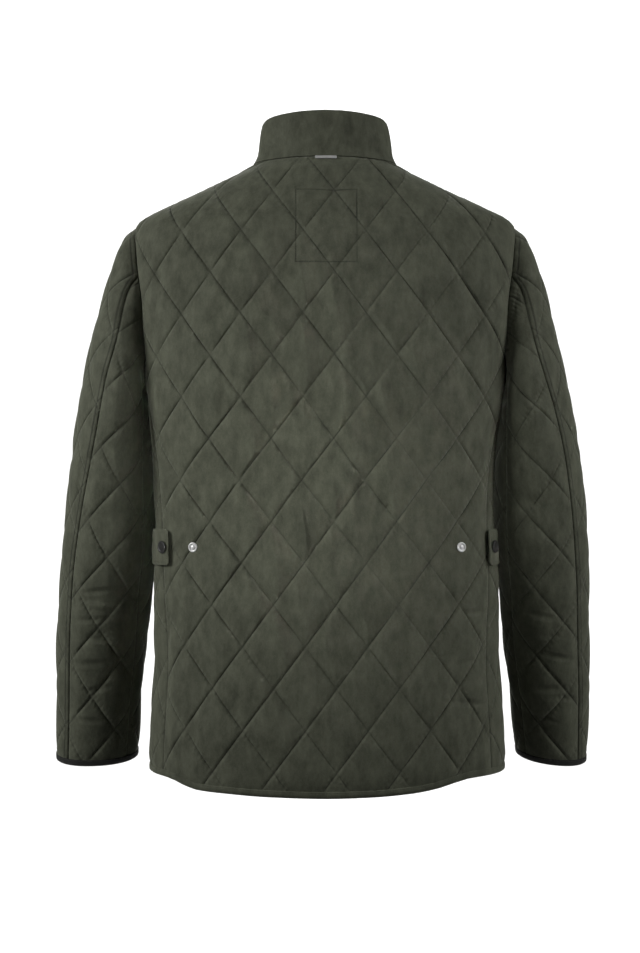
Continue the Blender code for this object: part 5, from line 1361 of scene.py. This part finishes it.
def quilted_cloth(name, quilt):
    """The shell on one panel: sunk and stitched along its quilting lines, with painted shade in those grooves and at
    its seams.
    """
    _, _, wide, tall, lean = quilt
    made, shader, s = cloth_start("quilted_" + name, 0.82, 0.30)
    colour, cloudy, relief = nap(s, SHELL_LOW, SHELL_HIGH)
    spot = s.add("TexCoord", out=3)
    height = s.add("SeparateXYZ", Vector=spot).output(2)
    high = s.add("MapRange", {"interpolation_type": "SMOOTHSTEP"}, i0=height, i1=WAY_SWAP_LOW, i2=WAY_SWAP_HIGH)
    uneven = spot.noise(34.0, 2.0) * 2.8 - 0.50
    both = s.add("SeparateXYZ", Vector=s.add("UVMap", {"uv_map": "quilt"}))
    ways = [both, both.output(1)]
    spacing = [1.0 / math.hypot(1.0 / wide, way / tall - lean / wide) for way in (1.0, -1.0)]
    side = math.hypot(wide, tall) / 2
    edge = s.add("SeparateXYZ", Vector=s.add("UVMap", {"uv_map": "edge"}))
    is_outer = edge.output(1)
    flat = s.add("UVMap", {"uv_map": "cloth"})
    wobble = (cloudy - 0.5) * 9.0
    way_strength = WAY_STRENGTH[name.split("_")[0]]
    sunk, valley, thread, ripple = 0.0, 0.0, 0.0, 0.0
    for k in (0, 1):
        away = ways[k].line(spacing[k])
        along = ways[1 - k] * side
        # How strongly this way of lines shows here, in relief and in painted shade, changing with height as the
        # light falls on it.
        drawn = (high * (way_strength[2 * k] - way_strength[2 * k + 1]) + way_strength[2 * k + 1]) * uneven
        dash = (along / STITCH).math("FRACT").math("LESS_THAN", DASH)
        sunk = away.near(SUNK_WIDE) * drawn + sunk
        valley = away.near(VALLEY_WIDE) * drawn + valley
        thread = away.near(THREAD_WIDE) * dash + thread
        ripple = (along * RIPPLES + wobble).math("SINE") * away.near(RIPPLE_WIDE) + ripple
    # Painted shade in the groove along the panel's seams.
    seam = edge.near(SEAM_WIDE) * SEAM_SHADE
    # On the upper sleeves, painted shade along the felled seam's outer row of stitches.
    if name.startswith("upper"):
        felled = s.add("SeparateXYZ", Vector=flat).math("GREATER_THAN", -0.10)
        seam = (edge - FELL).math("ABSOLUTE").near(FELL_WIDE) * felled * FELL_SHADE + seam
    # On the back, painted shade along the stitched rectangle.
    if name == "back":
        seam = box_line(s, flat) * uneven * BOX_SHADE + seam
    # All the painted shade of the grooves, on the outer face only, mixed into the colour.
    painted_shade = (sunk * SUNK_SHADE + seam).math("MINIMUM", DARKEST) * is_outer
    shell = painted_shade.mix(colour, OLIVE_PAINTED_SHADE)
    thread = thread * is_outer
    relief = relief * NAP_HIGH + cloudy * MOTTLE_HIGH + ripple * RIPPLE_HIGH + thread * THREAD_HIGH
    relief = relief - valley * VALLEY_DEEP - sunk * SUNK_DEEP - seam * SEAM_DEEP + small_creases(s, name)
    # The thread's dashes are made lighter: a painted highlight.
    join(made, shader, (thread * THREAD_HIGHLIGHT).mix(shell, OLIVE_THREAD_HIGHLIGHT), 0.90 - cloudy * 0.16, relief)
    return made


CLOTHS = {name: quilted_cloth(name, quilt) for name, quilt in QUILT.items()}
print("quilted finishes", len(CLOTHS))

# %% Back panel
arm_turns = np.arange(0.0, ARM_CORNER + 0.1, ARM_STEP)
back_runs = [
    neck_run(BACK_SKIN, np.linspace(-NECK_SHOULDER_TURN, NECK_SHOULDER_TURN, 60)),
    shoulder_run(BACK_SKIN, 1),
    armhole_run(BACK_SKIN, 1, arm_turns),
    side_run(BACK_SKIN, 1),
    body_rows(BACK_SKIN, HEM_BACK_TURNS[::-1], hem_z(HEM_BACK_TURNS[::-1]) + CUFF_LIFT),
    reversed_run(side_run(BACK_SKIN, -1)),
    reversed_run(armhole_run(BACK_SKIN, -1, arm_turns)),
    reversed_run(shoulder_run(BACK_SKIN, -1)),
]
panel("back", BACK_SKIN, back_runs)

# %% Front panels
def front(side, suffix):
    edge_z = np.linspace(float(neck_z(FRONT_EDGE_TURN)), float(hem_z(178.0)) + CUFF_LIFT, 140)
    edge = body_rows(FRONT_SKIN, front_edge_turn(edge_z) * side, edge_z)
    neck = neck_run(FRONT_SKIN, np.linspace(NECK_SHOULDER_TURN, FRONT_EDGE_TURN, 50) * side)
    for part in range(3):
        edge[part][0] = neck[part][-1]
    hem_turns = HEM_FRONT_TURNS * side
    hem = body_rows(FRONT_SKIN, hem_turns, hem_z(hem_turns) + CUFF_LIFT)
    round_arm = np.arange(360.0, ARM_CORNER - 0.1, -ARM_STEP)
    runs = [
        edge,
        reversed_run(hem),
        reversed_run(side_run(FRONT_SKIN, side)),
        reversed_run(armhole_run(FRONT_SKIN, side, round_arm % 360.0)),
        reversed_run(shoulder_run(FRONT_SKIN, side)),
        neck,
    ]
    panel("front_" + suffix, FRONT_SKIN, runs)


for side, suffix in SIDES:
    front(side, suffix)

# %% Sleeve panels
def sleeve(side, suffix):
    skin, _ = SLEEVES[side]
    felled, inner = FELLED_FOOT[side], INNER_FOOT[side]
    seam = sleeve_seam_run(side, "felled")
    under = [
        cuff_run(side, np.linspace(felled, inner, 34)),
        sleeve_seam_run(side, "inner"),
        reversed_run(sleeve_armhole_run(side, np.arange(72.0, ARM_CORNER + 0.1, ARM_STEP))),
        reversed_run(seam),
    ]
    panel("under_sleeve_" + suffix, skin, under)
    upper = [
        cuff_run(side, np.linspace(inner - 360.0, felled, 100)),
        seam,
        reversed_run(sleeve_armhole_run(side, np.arange(ARM_CORNER - 360.0, 72.1, ARM_STEP))),
        reversed_run(sleeve_seam_run(side, "inner", -360.0)),
    ]
    there_and_back = np.concatenate([seam[0], seam[0][-2:0:-1]])
    panel("upper_sleeve_" + suffix, skin, upper, felled=there_and_back)


for side, suffix in SIDES:
    sleeve(side, suffix)

# %% [markdown]
# The collar, the tabs and the bindings are plain cloth of the same shell, with no quilting. The cuffs are bound
# in black.

# %% Plain cloth finishes
def plain_cloth(name, low, high, sheen, rough):
    made, shader, s = cloth_start(name, rough, sheen)
    colour, cloudy, relief = nap(s, low, high)
    join(made, shader, colour, rough + 0.06 - cloudy * 0.14, relief * NAP_HIGH + cloudy * MOTTLE_HIGH)
    return made


SHELL = plain_cloth("plain_shell", SHELL_LOW, SHELL_HIGH, 0.30, 0.82)
BLACK_TAPE = plain_cloth("black_binding", (0.004, 0.004, 0.004, 1.0), (0.014, 0.014, 0.013, 1.0), 0.10, 0.86)
ZIP_TAPE = plain_cloth("zip_tape", (0.016, 0.017, 0.012, 1.0), (0.042, 0.043, 0.034, 1.0), 0.10, 0.88)
THREAD = plain_cloth("thread", (0.026, 0.028, 0.018, 1.0), (0.056, 0.060, 0.042, 1.0), 0.10, 0.75)

# %% [markdown]
# Metal snaps, slider and bar have fine scratches that change only their gloss. The dark ones are painted.

# %% Metal finishes
def metal(name, colour, rough, metallic):
    made, shader, s = start(name, Metallic=metallic, Roughness=rough)
    spot = s.add("TexCoord", out=3)
    cloudy = spot.noise(260.0, 4.0)
    scratches = spot.noise(2400.0, 2.0) * 0.00003
    dull = tuple(c * 0.72 for c in colour[:3]) + (1.0,)
    join(made, shader, cloudy.mix(dull, colour), cloudy * 0.22 + (rough - 0.09), scratches, 0.6)
    return made


SILVER_METAL = metal("silver_metal", (0.72, 0.72, 0.71, 1.0), 0.34, 0.45)
DARK_METAL = metal("dark_metal", (0.011, 0.011, 0.010, 1.0), 0.46, 0.15)

# %% [markdown]
# A strip of cloth such as the collar starts as a flat grid. Its rows and columns are sent to their places on the
# garment, an extrusion makes it thick, and its long free edge is rolled.

# %% A bent strip
ROLL_LOW, ROLL_RISE = 0.70, 0.30  # shares of the thickness at a rolled edge and beyond it
STRIP_TALL = 0.06
STRIP_LEAST = 0.05


def strip_piece(name, columns_count, rows_count, place, thick, node):
    """A strip from a grid: place(across, along) gives its inside point, outward direction and roll of the edge."""
    made = bmesh.new()
    bmesh.ops.create_grid(made, x_segments=columns_count, y_segments=rows_count, size=0.5)
    bmesh.ops.translate(made, verts=made.verts, vec=(0.5, 0.5, 0.0))
    flat, outer = thickened(made)
    inner, out, lip = place(*flat.T)
    edge_in = (1.0 - lip)[:, None] * out * thick * ROLL_RISE
    edge_out = out * (thick * (ROLL_LOW + ROLL_RISE * lip))[:, None]
    moved = inner + np.where(outer[:, None], edge_out, edge_in)
    for k, vert in enumerate(made.verts):
        vert.co = moved[k]
    made.normal_update()
    cut = 0.5 * sum(f.calc_area() for f in made.faces)
    piece = finish_piece(name, made, SHELL, [node], sharp=65.0)
    max(cut / STRIP_TALL, STRIP_LEAST)
    print(name, "faces", len(piece.data.polygons), "area", round(cut, 4))

# %% Collar
COLLAR_ROLL = 0.09  # share of its height over which the collar's edge is rolled
COLLAR_CREASE = 0.0007  # height of one soft slanting crease at the back
COLLAR_WAVE = 0.0006  # height of a slow unevenness all round


def collar_place(across, up):
    """The collar's inside, from the front edge on one side round to the other, and up from its seam."""
    turn = (across * 2.0 - 1.0) * FRONT_EDGE_TURN
    inner = collar_point(turn, up)
    out = collar_normal(turn, np.clip(up, 0.02, 0.98))
    inner[:, 2] += GAP * (1.0 - up)
    free = np.minimum(1.0 - up, np.minimum(across, 1.0 - across) * 8.0)
    lip = np.sin(np.clip(free / COLLAR_ROLL, 0.0, 1.0) * np.pi / 2)
    slant = (turn + 8.0) / 26.0 + (up - 0.5) * 1.1
    crease = COLLAR_CREASE * np.exp(-((slant / 0.11) ** 2)) * np.exp(-(((turn + 4.0) / 34.0) ** 2))
    inner += out * crease[:, None]
    wave = np.sin(turn * 0.075 + up * 2.0) + np.sin(turn * 0.19 - up * 3.0 + 1.0)
    inner += out * (COLLAR_WAVE * wave * np.sin(np.pi * np.clip(up, 0.0, 1.0)))[:, None]
    return inner, out, lip


strip_piece("collar_cloth", 220, 22, collar_place, COLLAR_WALL, "collar")

# %% [markdown]
# A binding is a tape folded over the raw edge. Its section is a ring of points, and each extrusion of that ring
# carries it one station further along the edge.

# %% Bindings
BINDING_RING = (
    # up, out
    (BINDING_TALL, WALL + GAP + BINDING_CLOTH * 0.55),
    (BINDING_TALL - 0.0006, WALL + GAP + BINDING_CLOTH),
    (0.0050, WALL + GAP + BINDING_CLOTH * 1.15),
    (0.0018, WALL + GAP + BINDING_CLOTH),
    (0.0005, WALL * 0.85),
    (0.0002, WALL * 0.5),
    (0.0005, WALL * 0.15),
    (0.0018, -GAP - BINDING_CLOTH),
    (0.0050, -GAP - BINDING_CLOTH * 1.10),
    (BINDING_TALL - 0.0006, -GAP - BINDING_CLOTH),
    (BINDING_TALL, -GAP - BINDING_CLOTH * 0.5),
    (BINDING_TALL, -GAP),
    (BINDING_CLOTH, -GAP),
    (BINDING_CLOTH, WALL + GAP),
    (BINDING_TALL, WALL + GAP),
)
BINDING_RIPPLE = 0.00022
BINDING_STITCH = 0.0014  # from the upper edge of a binding to its stitches


def swept(rings, closed):
    """A tube through rings of points by extruding the first ring from station to station."""
    made = bmesh.new()
    first = [made.verts.new(p) for p in rings[0]]
    edges = [made.edges.new((first[k], first[(k + 1) % len(first)])) for k in range(len(first))]
    start_edges = edges
    ring_verts = first
    for ring in rings[1:]:
        out = bmesh.ops.extrude_edge_only(made, edges=edges)["geom"]
        follow = {}
        for vert in verts_of(out):
            for edge in vert.link_edges:
                other = edge.other_vert(vert)
                if other in ring_verts:
                    follow[other] = vert
        ring_verts = [follow[v] for v in ring_verts]
        for vert, place in zip(ring_verts, ring):
            vert.co = place
        edges = [g for g in out if isinstance(g, bmesh.types.BMEdge)]
    if closed:
        bmesh.ops.bridge_loops(made, edges=edges + start_edges)
    else:
        bmesh.ops.contextual_create(made, geom=start_edges)
        bmesh.ops.contextual_create(made, geom=edges)
    return made


def binding(name, low, up, out, closed, look, node, slot):
    """A folded tape along an edge: its low points, and the directions up the cloth and out of it there."""
    stations = len(low)
    k = np.arange(stations)
    ripple = BINDING_RIPPLE * np.sin(k * 1.9 + 2.0 * np.sin(k * 0.37))
    rings = []
    for s in range(stations):
        grown = [(rise, away + (ripple[s] if away > WALL else 0.0)) for rise, away in BINDING_RING]
        rings.append([low[s] + up[s] * rise + out[s] * away for rise, away in grown])
    piece = finish_piece(name, swept(rings, closed), look, [node], sharp=60.0)
    run = float(np.linalg.norm(np.diff(low, axis=0), axis=1).sum())
    run * (1.01 if closed else 1.0)
    print(name, "stations", stations, "length", round(run, 3))


def binding_row(low, up, out):
    """Points on the outside of a binding, where its stitches run."""
    return low + up * (BINDING_TALL - BINDING_STITCH) + out * (WALL + GAP + BINDING_CLOTH * 1.05)


hem_left = HEM_FRONT_TURNS[::-1]
hem_turns = np.concatenate([-hem_left[:-1], HEM_BACK_TURNS, HEM_FRONT_TURNS[1:]])
hem_low = torso_point(hem_turns, hem_z(hem_turns))
hem_high = torso_point(hem_turns, hem_z(hem_turns) + BINDING_TALL)
hem_up = unit(hem_high - hem_low)
hem_out = BACK_SKIN.normal(BACK_SKIN.flat(hem_turns, -hem_z(hem_turns)))
binding("hem_tape", hem_low, hem_up, hem_out, False, SHELL, "hem_binding", "self_binding")

# %% Cuff bindings
def cuff_edge(side, count=120):
    skin, _ = SLEEVES[side]
    turns = np.linspace(-180.0, 180.0, count, endpoint=False)
    flat = skin.flat(turns, np.zeros(count))
    low = skin.point(flat)
    high = skin.point(skin.flat(turns, np.full(count, BINDING_TALL)))
    return low, unit(high - low), skin.normal(flat)


for side, suffix in SIDES:
    binding("cuff_tape_" + suffix, *cuff_edge(side), True, BLACK_TAPE, "cuff_binding_" + suffix, "black_binding")

# %% [markdown]
# The waist tabs are sewn into the side seams and end on the back with a snap, so their free ends stand a little
# off the cloth. Each is two layers of shell turned right side out, so all of its edges are rolled.

# %% Places for the tabs and snaps
TAB_TOP_Z = -0.4560
TAB_END_X = {1: 0.1895, -1: -0.1990}
BACK_SNAP_X = {1: 0.1612, -1: -0.1655}
TAB_LIFT = 0.0030  # how far the free end stands off the quilting
TAB_ROUND = 0.004  # how far the corners of the free end are cut back
SNAP_LIFT = 0.0007  # from the tab's upper face to its snap


def turn_at_x(x, z):
    """The turn at which the back's outside is this far to one side."""
    fan = np.arange(1.0, 80.0, 0.5) * np.sign(x)
    flat = BACK_SKIN.flat(fan, -z)
    ring = BACK_SKIN.point(flat) + BACK_SKIN.normal(flat) * (WALL + PUFF * 0.3)
    return float(np.interp(abs(x), np.abs(ring[:, 0]), fan))


def surface(flat, lift):
    """A point over the back's skin, by flat place and height over the inside face."""
    return BACK_SKIN.point(flat) + BACK_SKIN.normal(flat) * np.asarray(lift)[..., None]


TAB_MIDDLE_Z = TAB_TOP_Z - TAB_TALL / 2
TAB_END = {side: BACK_SKIN.flat(turn_at_x(x, TAB_MIDDLE_Z), -TAB_MIDDLE_Z) for side, x in TAB_END_X.items()}


def tab_point(side, share, row, lift):
    """A point on the tab from its free end, by share of its length, row across it and height over it."""
    end = TAB_END[side]
    rounded = TAB_ROUND * max(0.0, abs(row) - 0.9) / 0.1 * max(0.0, 1.0 - share / 0.06)
    u = end[0] + side * (share * TAB_LONG + rounded)
    flat = np.array([u, end[1] + row * TAB_TALL / 2])
    base = WALL + PUFF * 0.14 + 2 * GAP + TAB_LIFT * max(0.0, 1.0 - share / 0.6)
    return surface(flat, np.array(base + lift))


def tab_points(side, shares, rows, lift):
    """Points over the tab, and the directions out of it there."""
    point = np.array([tab_point(side, s, r, lift) for s, r in zip(shares, rows)])
    above = np.array([tab_point(side, s, r, lift + 0.001) for s, r in zip(shares, rows)])
    return point, unit(above - point)


def frame_over(flat, rise):
    """Middle, sideways, upwards and outwards directions of something that lies on the back."""
    middle = surface(flat, np.array(rise))
    out = BACK_SKIN.normal(flat)
    across, _ = BACK_SKIN.slopes(flat)
    across = unit(across - out * np.dot(across, out))
    return middle, across, np.cross(out, across), out


def frame_on_tab(side, share):
    """The same directions for something on a tab."""
    middle = tab_point(side, share, 0.0, TAB_THICK)
    along = unit(tab_point(side, share + 0.1, 0.0, TAB_THICK) - tab_point(side, share - 0.1, 0.0, TAB_THICK))
    upward = unit(tab_point(side, share, -0.4, TAB_THICK) - tab_point(side, share, 0.4, TAB_THICK))
    out = unit(np.cross(upward, along)) * side
    return middle + out * SNAP_LIFT, along, upward, out

# %% Tabs
TAB_ROLL = 0.0022  # width of the roll along a tab's edges


def tab_piece(side, suffix):
    def place(across, along):
        rows = along * 2.0 - 1.0
        point, out = tab_points(side, across, rows, 0.0)
        corner = np.minimum((1.0 - np.abs(rows)) * TAB_TALL / 2, across * TAB_LONG)
        lip = np.sin(np.clip(corner / TAB_ROLL, 0.0, 1.0) * np.pi / 2)
        wave = 0.0004 * np.sin(across * 9.0 + rows * 2.0) + 0.0003 * np.sin(rows * 7.0)
        return point + out * (wave * lip)[:, None], out, lip

    strip_piece("tab_cloth_" + suffix, 40, 32, place, TAB_THICK, "tab_" + suffix)


for side, suffix in SIDES:
    tab_piece(side, suffix)

# %% [markdown]
# A snap is turned: half of its section is drawn once and spun round its axis. The spare snap on the back shows
# a bright rim and its stud, and the snap on the tab is painted dark.

# %% Snaps
TAB_SNAP = (
    # radius, height
    (0.0, 0.0),
    (TAB_SNAP_RADIUS - 0.0006, 0.0),
    (TAB_SNAP_RADIUS - 0.0001, 0.0003),
    (TAB_SNAP_RADIUS, 0.0008),
    (TAB_SNAP_RADIUS - 0.0001, 0.0015),
    (TAB_SNAP_RADIUS - 0.0006, 0.0021),
    (TAB_SNAP_RADIUS - 0.0014, 0.0024),
    (TAB_SNAP_RADIUS - 0.0022, 0.0022),
    (TAB_SNAP_RADIUS - 0.0028, 0.0017),
    (TAB_SNAP_RADIUS - 0.0040, 0.0018),
    (0.0, 0.0020),
)
BACK_SNAP = (
    # radius, height
    (0.0, 0.0),
    (BACK_SNAP_RADIUS - 0.0004, 0.0),
    (BACK_SNAP_RADIUS, 0.0004),
    (BACK_SNAP_RADIUS, 0.0011),
    (BACK_SNAP_RADIUS - 0.0004, 0.0016),
    (BACK_SNAP_RADIUS - 0.0010, 0.0018),
    (BACK_SNAP_RADIUS - 0.0017, 0.0016),
    (BACK_SNAP_RADIUS - 0.0020, 0.0004),
    (BACK_SNAP_RADIUS - 0.0034, 0.0004),
    (BACK_SNAP_RADIUS - 0.0036, 0.0014),
    (BACK_SNAP_RADIUS - 0.0041, 0.0017),
    (0.0, 0.0015),
)


def placed(middle, *directions):
    """The matrix that sets a shape at a place, with its own x, y and z turned to these directions."""
    return Matrix.Translation(middle) @ Matrix(directions).transposed().to_4x4()


def snap(name, frame_at, profile, look, node):
    made = bmesh.new()
    verts = [made.verts.new((radius, 0.0, height)) for radius, height in profile]
    for a, b in zip(verts, verts[1:]):
        made.edges.new((a, b))
    around = {"cent": (0, 0, 0), "axis": (0, 0, 1), "angle": 2 * math.pi, "steps": 56, "use_merge": True}
    bmesh.ops.spin(made, geom=made.verts[:] + made.edges[:], **around)
    bmesh.ops.remove_doubles(made, verts=made.verts, dist=1e-6)
    bmesh.ops.transform(made, matrix=placed(*frame_at), verts=made.verts)
    finish_piece(name, made, look, [node])
    print(name, "at", [round(float(v), 4) for v in frame_at[0]])


TAB_SNAP_IN = 0.0094  # from the tab's free end to its snap
BACK_SNAP_Z = -0.4775
BACK_SNAP_LIFT = 0.0005
for side, suffix in SIDES:
    on_tab = frame_on_tab(side, TAB_SNAP_IN / TAB_LONG)
    snap("tab_stud_" + suffix, on_tab, TAB_SNAP, DARK_METAL, "tab_snap_" + suffix)
    spot = BACK_SKIN.flat(turn_at_x(BACK_SNAP_X[side], BACK_SNAP_Z), -BACK_SNAP_Z)
    on_back = frame_over(spot, WALL + PUFF * float(puff(QUILT["back"], spot)) + BACK_SNAP_LIFT)
    snap("spare_stud_" + suffix, on_back, BACK_SNAP, SILVER_METAL, "back_snap_" + suffix)

# %% [markdown]
# The bar under the collar, the zip's slider and its pull are hard pieces whose solids are right already. They
# keep their shape, get metal finishes, and a small bevel catches the light on their edges.

# %% Hard pieces
def repaint(name, look):
    """Gives a solid of the frame its finish."""
    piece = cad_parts[name]
    piece.data.materials.clear()
    piece.data.materials.append(look)
    return piece


for name, wide in (("neck_bar", 0.00035), ("zip_slider", 0.00025), ("zip_pull", 0.00025)):
    piece = repaint(name, SILVER_METAL)
    welded = piece.modifiers.new("weld", "WELD")
    welded.merge_threshold = 0.00001
    soft = piece.modifiers.new("bevel", "BEVEL")
    soft.width = wide
    soft.segments = 3
    soft.limit_method = "ANGLE"
    soft.angle_limit = math.radians(35.0)
for _, suffix in SIDES:
    repaint("zip_tape_" + suffix, ZIP_TAPE)

# %% [markdown]
# The zip's teeth are small blocks that stand alternately on the edges of the two tapes. Each is made from a cube
# that a matrix places on the front's centre line.

# %% Zip teeth
ZIP_FOOT = 0.0016  # from the hem up to the lowest tooth
ZIP_NECK_Z = -0.0590
TOOTH_PITCH = 0.0026
TOOTH_SIZE = (0.0037, 0.00108, 0.0021, 1.0)  # across the zip, along it and out
TOOTH_ACROSS, TOOTH_OUT = 0.00105, 0.00135  # from the centre line to a tooth's middle


def closure():
    """Points and outward directions up the front's centre line, from the hem to the collar's edge."""
    z = np.linspace(float(hem_z(180.0)) + ZIP_FOOT, ZIP_NECK_Z, 24)
    flat = np.stack([np.zeros(len(z)), -z], axis=-1)
    low = FRONT_SKIN.point(flat)
    low_out = FRONT_SKIN.normal(flat)
    ups = np.array([0.10, 0.24, 0.42, 0.60, 0.78, 0.90])
    turn = np.full(len(ups), 180.0)
    high = collar_point(turn, ups)
    high_out = collar_normal(turn, ups)
    corner = collar_point(turn[:1], np.array([0.0]))
    corner_out = unit(low_out[-1:] + high_out[:1]) * 1.25
    return np.concatenate([low, corner, high]), np.concatenate([low_out, corner_out, high_out])


def along_line(points, outs, step, start):
    """Places at even steps along a line, and the directions along it, across it and out there."""
    run = summed(np.linalg.norm(np.diff(points, axis=0), axis=1))

    def read(at, values):
        return np.stack([np.interp(at, run, values[:, k]) for k in range(3)], axis=-1)

    at = np.arange(start, run[-1], step)
    out = unit(read(at, outs))
    along = unit(read(at + 0.0008, points) - read(at - 0.0008, points))
    out = unit(out - along * np.sum(out * along, axis=-1, keepdims=True))
    return zip(read(at, points), along, np.cross(along, out), out)


def teeth():
    made = bmesh.new()
    count = 0
    for spot, along, across, out in along_line(*closure(), TOOTH_PITCH / 2, 0.001):
        side = 1.0 if count % 2 else -1.0
        middle = spot + across * side * TOOTH_ACROSS + out * TOOTH_OUT
        block = placed(middle, across, along, out) @ Matrix.Diagonal(TOOTH_SIZE)
        bmesh.ops.create_cube(made, size=1.0, matrix=block)
        count += 1
    bmesh.ops.bevel(made, geom=made.edges[:], offset=0.00022, segments=1, profile=0.5, affect="EDGES", material=-1)
    finish_piece("zip_teeth", made, DARK_METAL, ["zip_chain"], sharp=30.0)
    print("teeth", count)


teeth()

# %% [markdown]
# Sewing thread is modelled where it shows: a short round bead for each stitch, half sunk in the cloth. It runs
# beside the seams, round the tabs and in a rectangle on the upper back that holds something on the inside.

# %% Stitches
SEWN_PITCH = 0.0032
THREAD_SIZE = (SEWN_PITCH * 0.78, 0.00044, 0.00044, 1.0)
LOOK_FROM, LOOK_FAR = 0.025, 0.04  # height over the inside face that a ray starts from, and its reach


def sew(made, points, outs):
    """Adds a row of stitches along a line to a bmesh, and counts them."""
    count = 0
    for spot, along, across, out in along_line(points, outs, SEWN_PITCH, SEWN_PITCH / 2):
        bead = placed(spot, along, across, out) @ Matrix.Diagonal(THREAD_SIZE)
        bmesh.ops.create_uvsphere(made, u_segments=6, v_segments=4, radius=0.5, matrix=bead)
        count += 1
    return count


def on_cloth(panel_name, flat, skin):
    """Points on the outside of a finished panel at flat places, by looking down onto it."""
    piece = MADE[panel_name + "_cloth"]
    found = []
    outs = skin.normal(flat)
    for origin, out in zip(skin.point(flat), outs):
        hit, spot, _, _ = piece.ray_cast(Vector(origin + out * LOOK_FROM), Vector(-out), distance=LOOK_FAR)
        found.append(spot if hit else origin + out * WALL)
    return np.array([list(f) for f in found]), outs


def polyline(corners, count):
    """Rows of points from each corner to the next."""
    shares = np.linspace(0.0, 1.0, count)[:, None]
    return [np.array(a) + (np.array(b) - np.array(a)) * shares for a, b in zip(corners, corners[1:])]


def sewn(name, rows):
    made = bmesh.new()
    count = sum(sew(made, points, outs) for points, outs in rows)
    finish_piece(name, made, THREAD, (), sharp=180.0)
    print(name, count, "stitches")

# %% Rectangle on the upper back
NEAR_MIDDLE = 0.006  # closer to the back's middle than this, the turn is simply x over the body's depth there
MIDDLE_DEPTH = 0.11


def rectangle():
    rows = []
    top_left, low_left = (BOX_LEFT, BOX_TOP), (BOX_LEFT, BOX_LOW)
    for spots in polyline([top_left, (BOX_RIGHT, BOX_TOP), (BOX_RIGHT, BOX_LOW), low_left, top_left], 60):
        turns = [turn_at_x(x, z) if abs(x) > NEAR_MIDDLE else x / MIDDLE_DEPTH * 57.3 for x, z in spots]
        rows.append(on_cloth("back", BACK_SKIN.flat(np.array(turns), -spots[:, 1]), BACK_SKIN))
    return rows


sewn("box_stitching", rectangle())

# %% Stitching beside the sleeve seams
FELL_NEAR = 0.0012  # from the sleeve's seam to its inner row of stitches


def moved_over(flat, away):
    """A line moved sideways on the flat cloth."""
    step = unit(np.gradient(flat, axis=0))
    return flat + np.stack([-step[:, 1], step[:, 0]], axis=-1) * away


for side, suffix in SIDES:
    skin, _ = SLEEVES[side]
    seam = sleeve_seam_run(side, "felled")[0][3:-2]
    lines = [moved_over(seam, away) for away in (FELL_NEAR, FELL)]
    sewn("sleeve_stitching_" + suffix, [on_cloth("upper_sleeve_" + suffix, line, skin) for line in lines])

# %% Stitching on tabs, bindings and fronts
TAB_INSET = 0.0038  # from the tab's edges to its stitches
TAB_SEWN = 0.97  # share of the tab's length up to which they run
FRONT_ROW = 3.6  # degrees from a front's edge to its row of stitches


def tab_rows(side):
    near, far = TAB_INSET / TAB_LONG, TAB_SEWN
    edge = 1.0 - TAB_INSET / (TAB_TALL / 2)
    rows = []
    for spots in polyline([(far, edge), (near, edge), (near, -edge), (far, -edge)], 30):
        point, out = tab_points(side, *spots.T, TAB_THICK)
        rows.append((point + out * 0.0002, out))
    return rows


sewn("tab_stitching", tab_rows(1) + tab_rows(-1))
rows = [(binding_row(hem_low, hem_up, hem_out), hem_out)]
for side, _ in SIDES:
    low, up, out = cuff_edge(side, 160)
    line = binding_row(low, up, out)
    rows.append((np.concatenate([line, line[:1]]), np.concatenate([out, out[:1]])))
sewn("binding_stitching", rows)
rows = []
front_z = np.linspace(-0.060, -0.745, 120)
for side, suffix in SIDES:
    turns = front_edge_turn(front_z) - FRONT_ROW
    flat = FRONT_SKIN.flat(front_turn(turns * side), -front_z)
    rows.append(on_cloth("front_" + suffix, flat, FRONT_SKIN))
sewn("front_stitching", rows)

# %% [markdown]
# The floor is a pale sheet that curves up behind the jacket, so that no edge shows. It is a stage, not part of
# the object.

# %% Floor
FLOOR_Z, WALL_TOP_Z = -1.25, 3.5
FLOOR_NEAR, FLOOR_FAR = 4.0, -3.6  # the far one is where it starts to curve up
FLOOR_CURVE = 1.2
FLOOR_WIDE = 9.0
made = bmesh.new()
profile = [(FLOOR_NEAR, FLOOR_Z), (FLOOR_FAR, FLOOR_Z)]
for a in np.radians(range(6, 91, 6)):
    profile.append((FLOOR_FAR - FLOOR_CURVE * math.sin(a), FLOOR_Z + FLOOR_CURVE * (1 - math.cos(a))))
profile.append((FLOOR_FAR - FLOOR_CURVE, WALL_TOP_Z))
line = [made.verts.new((-FLOOR_WIDE / 2, y, z)) for y, z in profile]
edges = [made.edges.new((a, b)) for a, b in zip(line, line[1:])]
other_side = bmesh.ops.extrude_edge_only(made, edges=edges)["geom"]
bmesh.ops.translate(made, verts=verts_of(other_side), vec=(FLOOR_WIDE, 0, 0))
pale, shader, s = start("pale_floor", Roughness=0.9)
dust = s.add("TexCoord", out=3).noise(3.0, 2.0)
dusty = dust.mix((0.86, 0.86, 0.86, 1.0), (0.89, 0.89, 0.885, 1.0))
pale.node_tree.links.new(dusty.link, shader.inputs["Base Color"])
floor = mesh_object("floor", made, pale)
floor.visible_diffuse = False  # its light would brighten the jacket from below
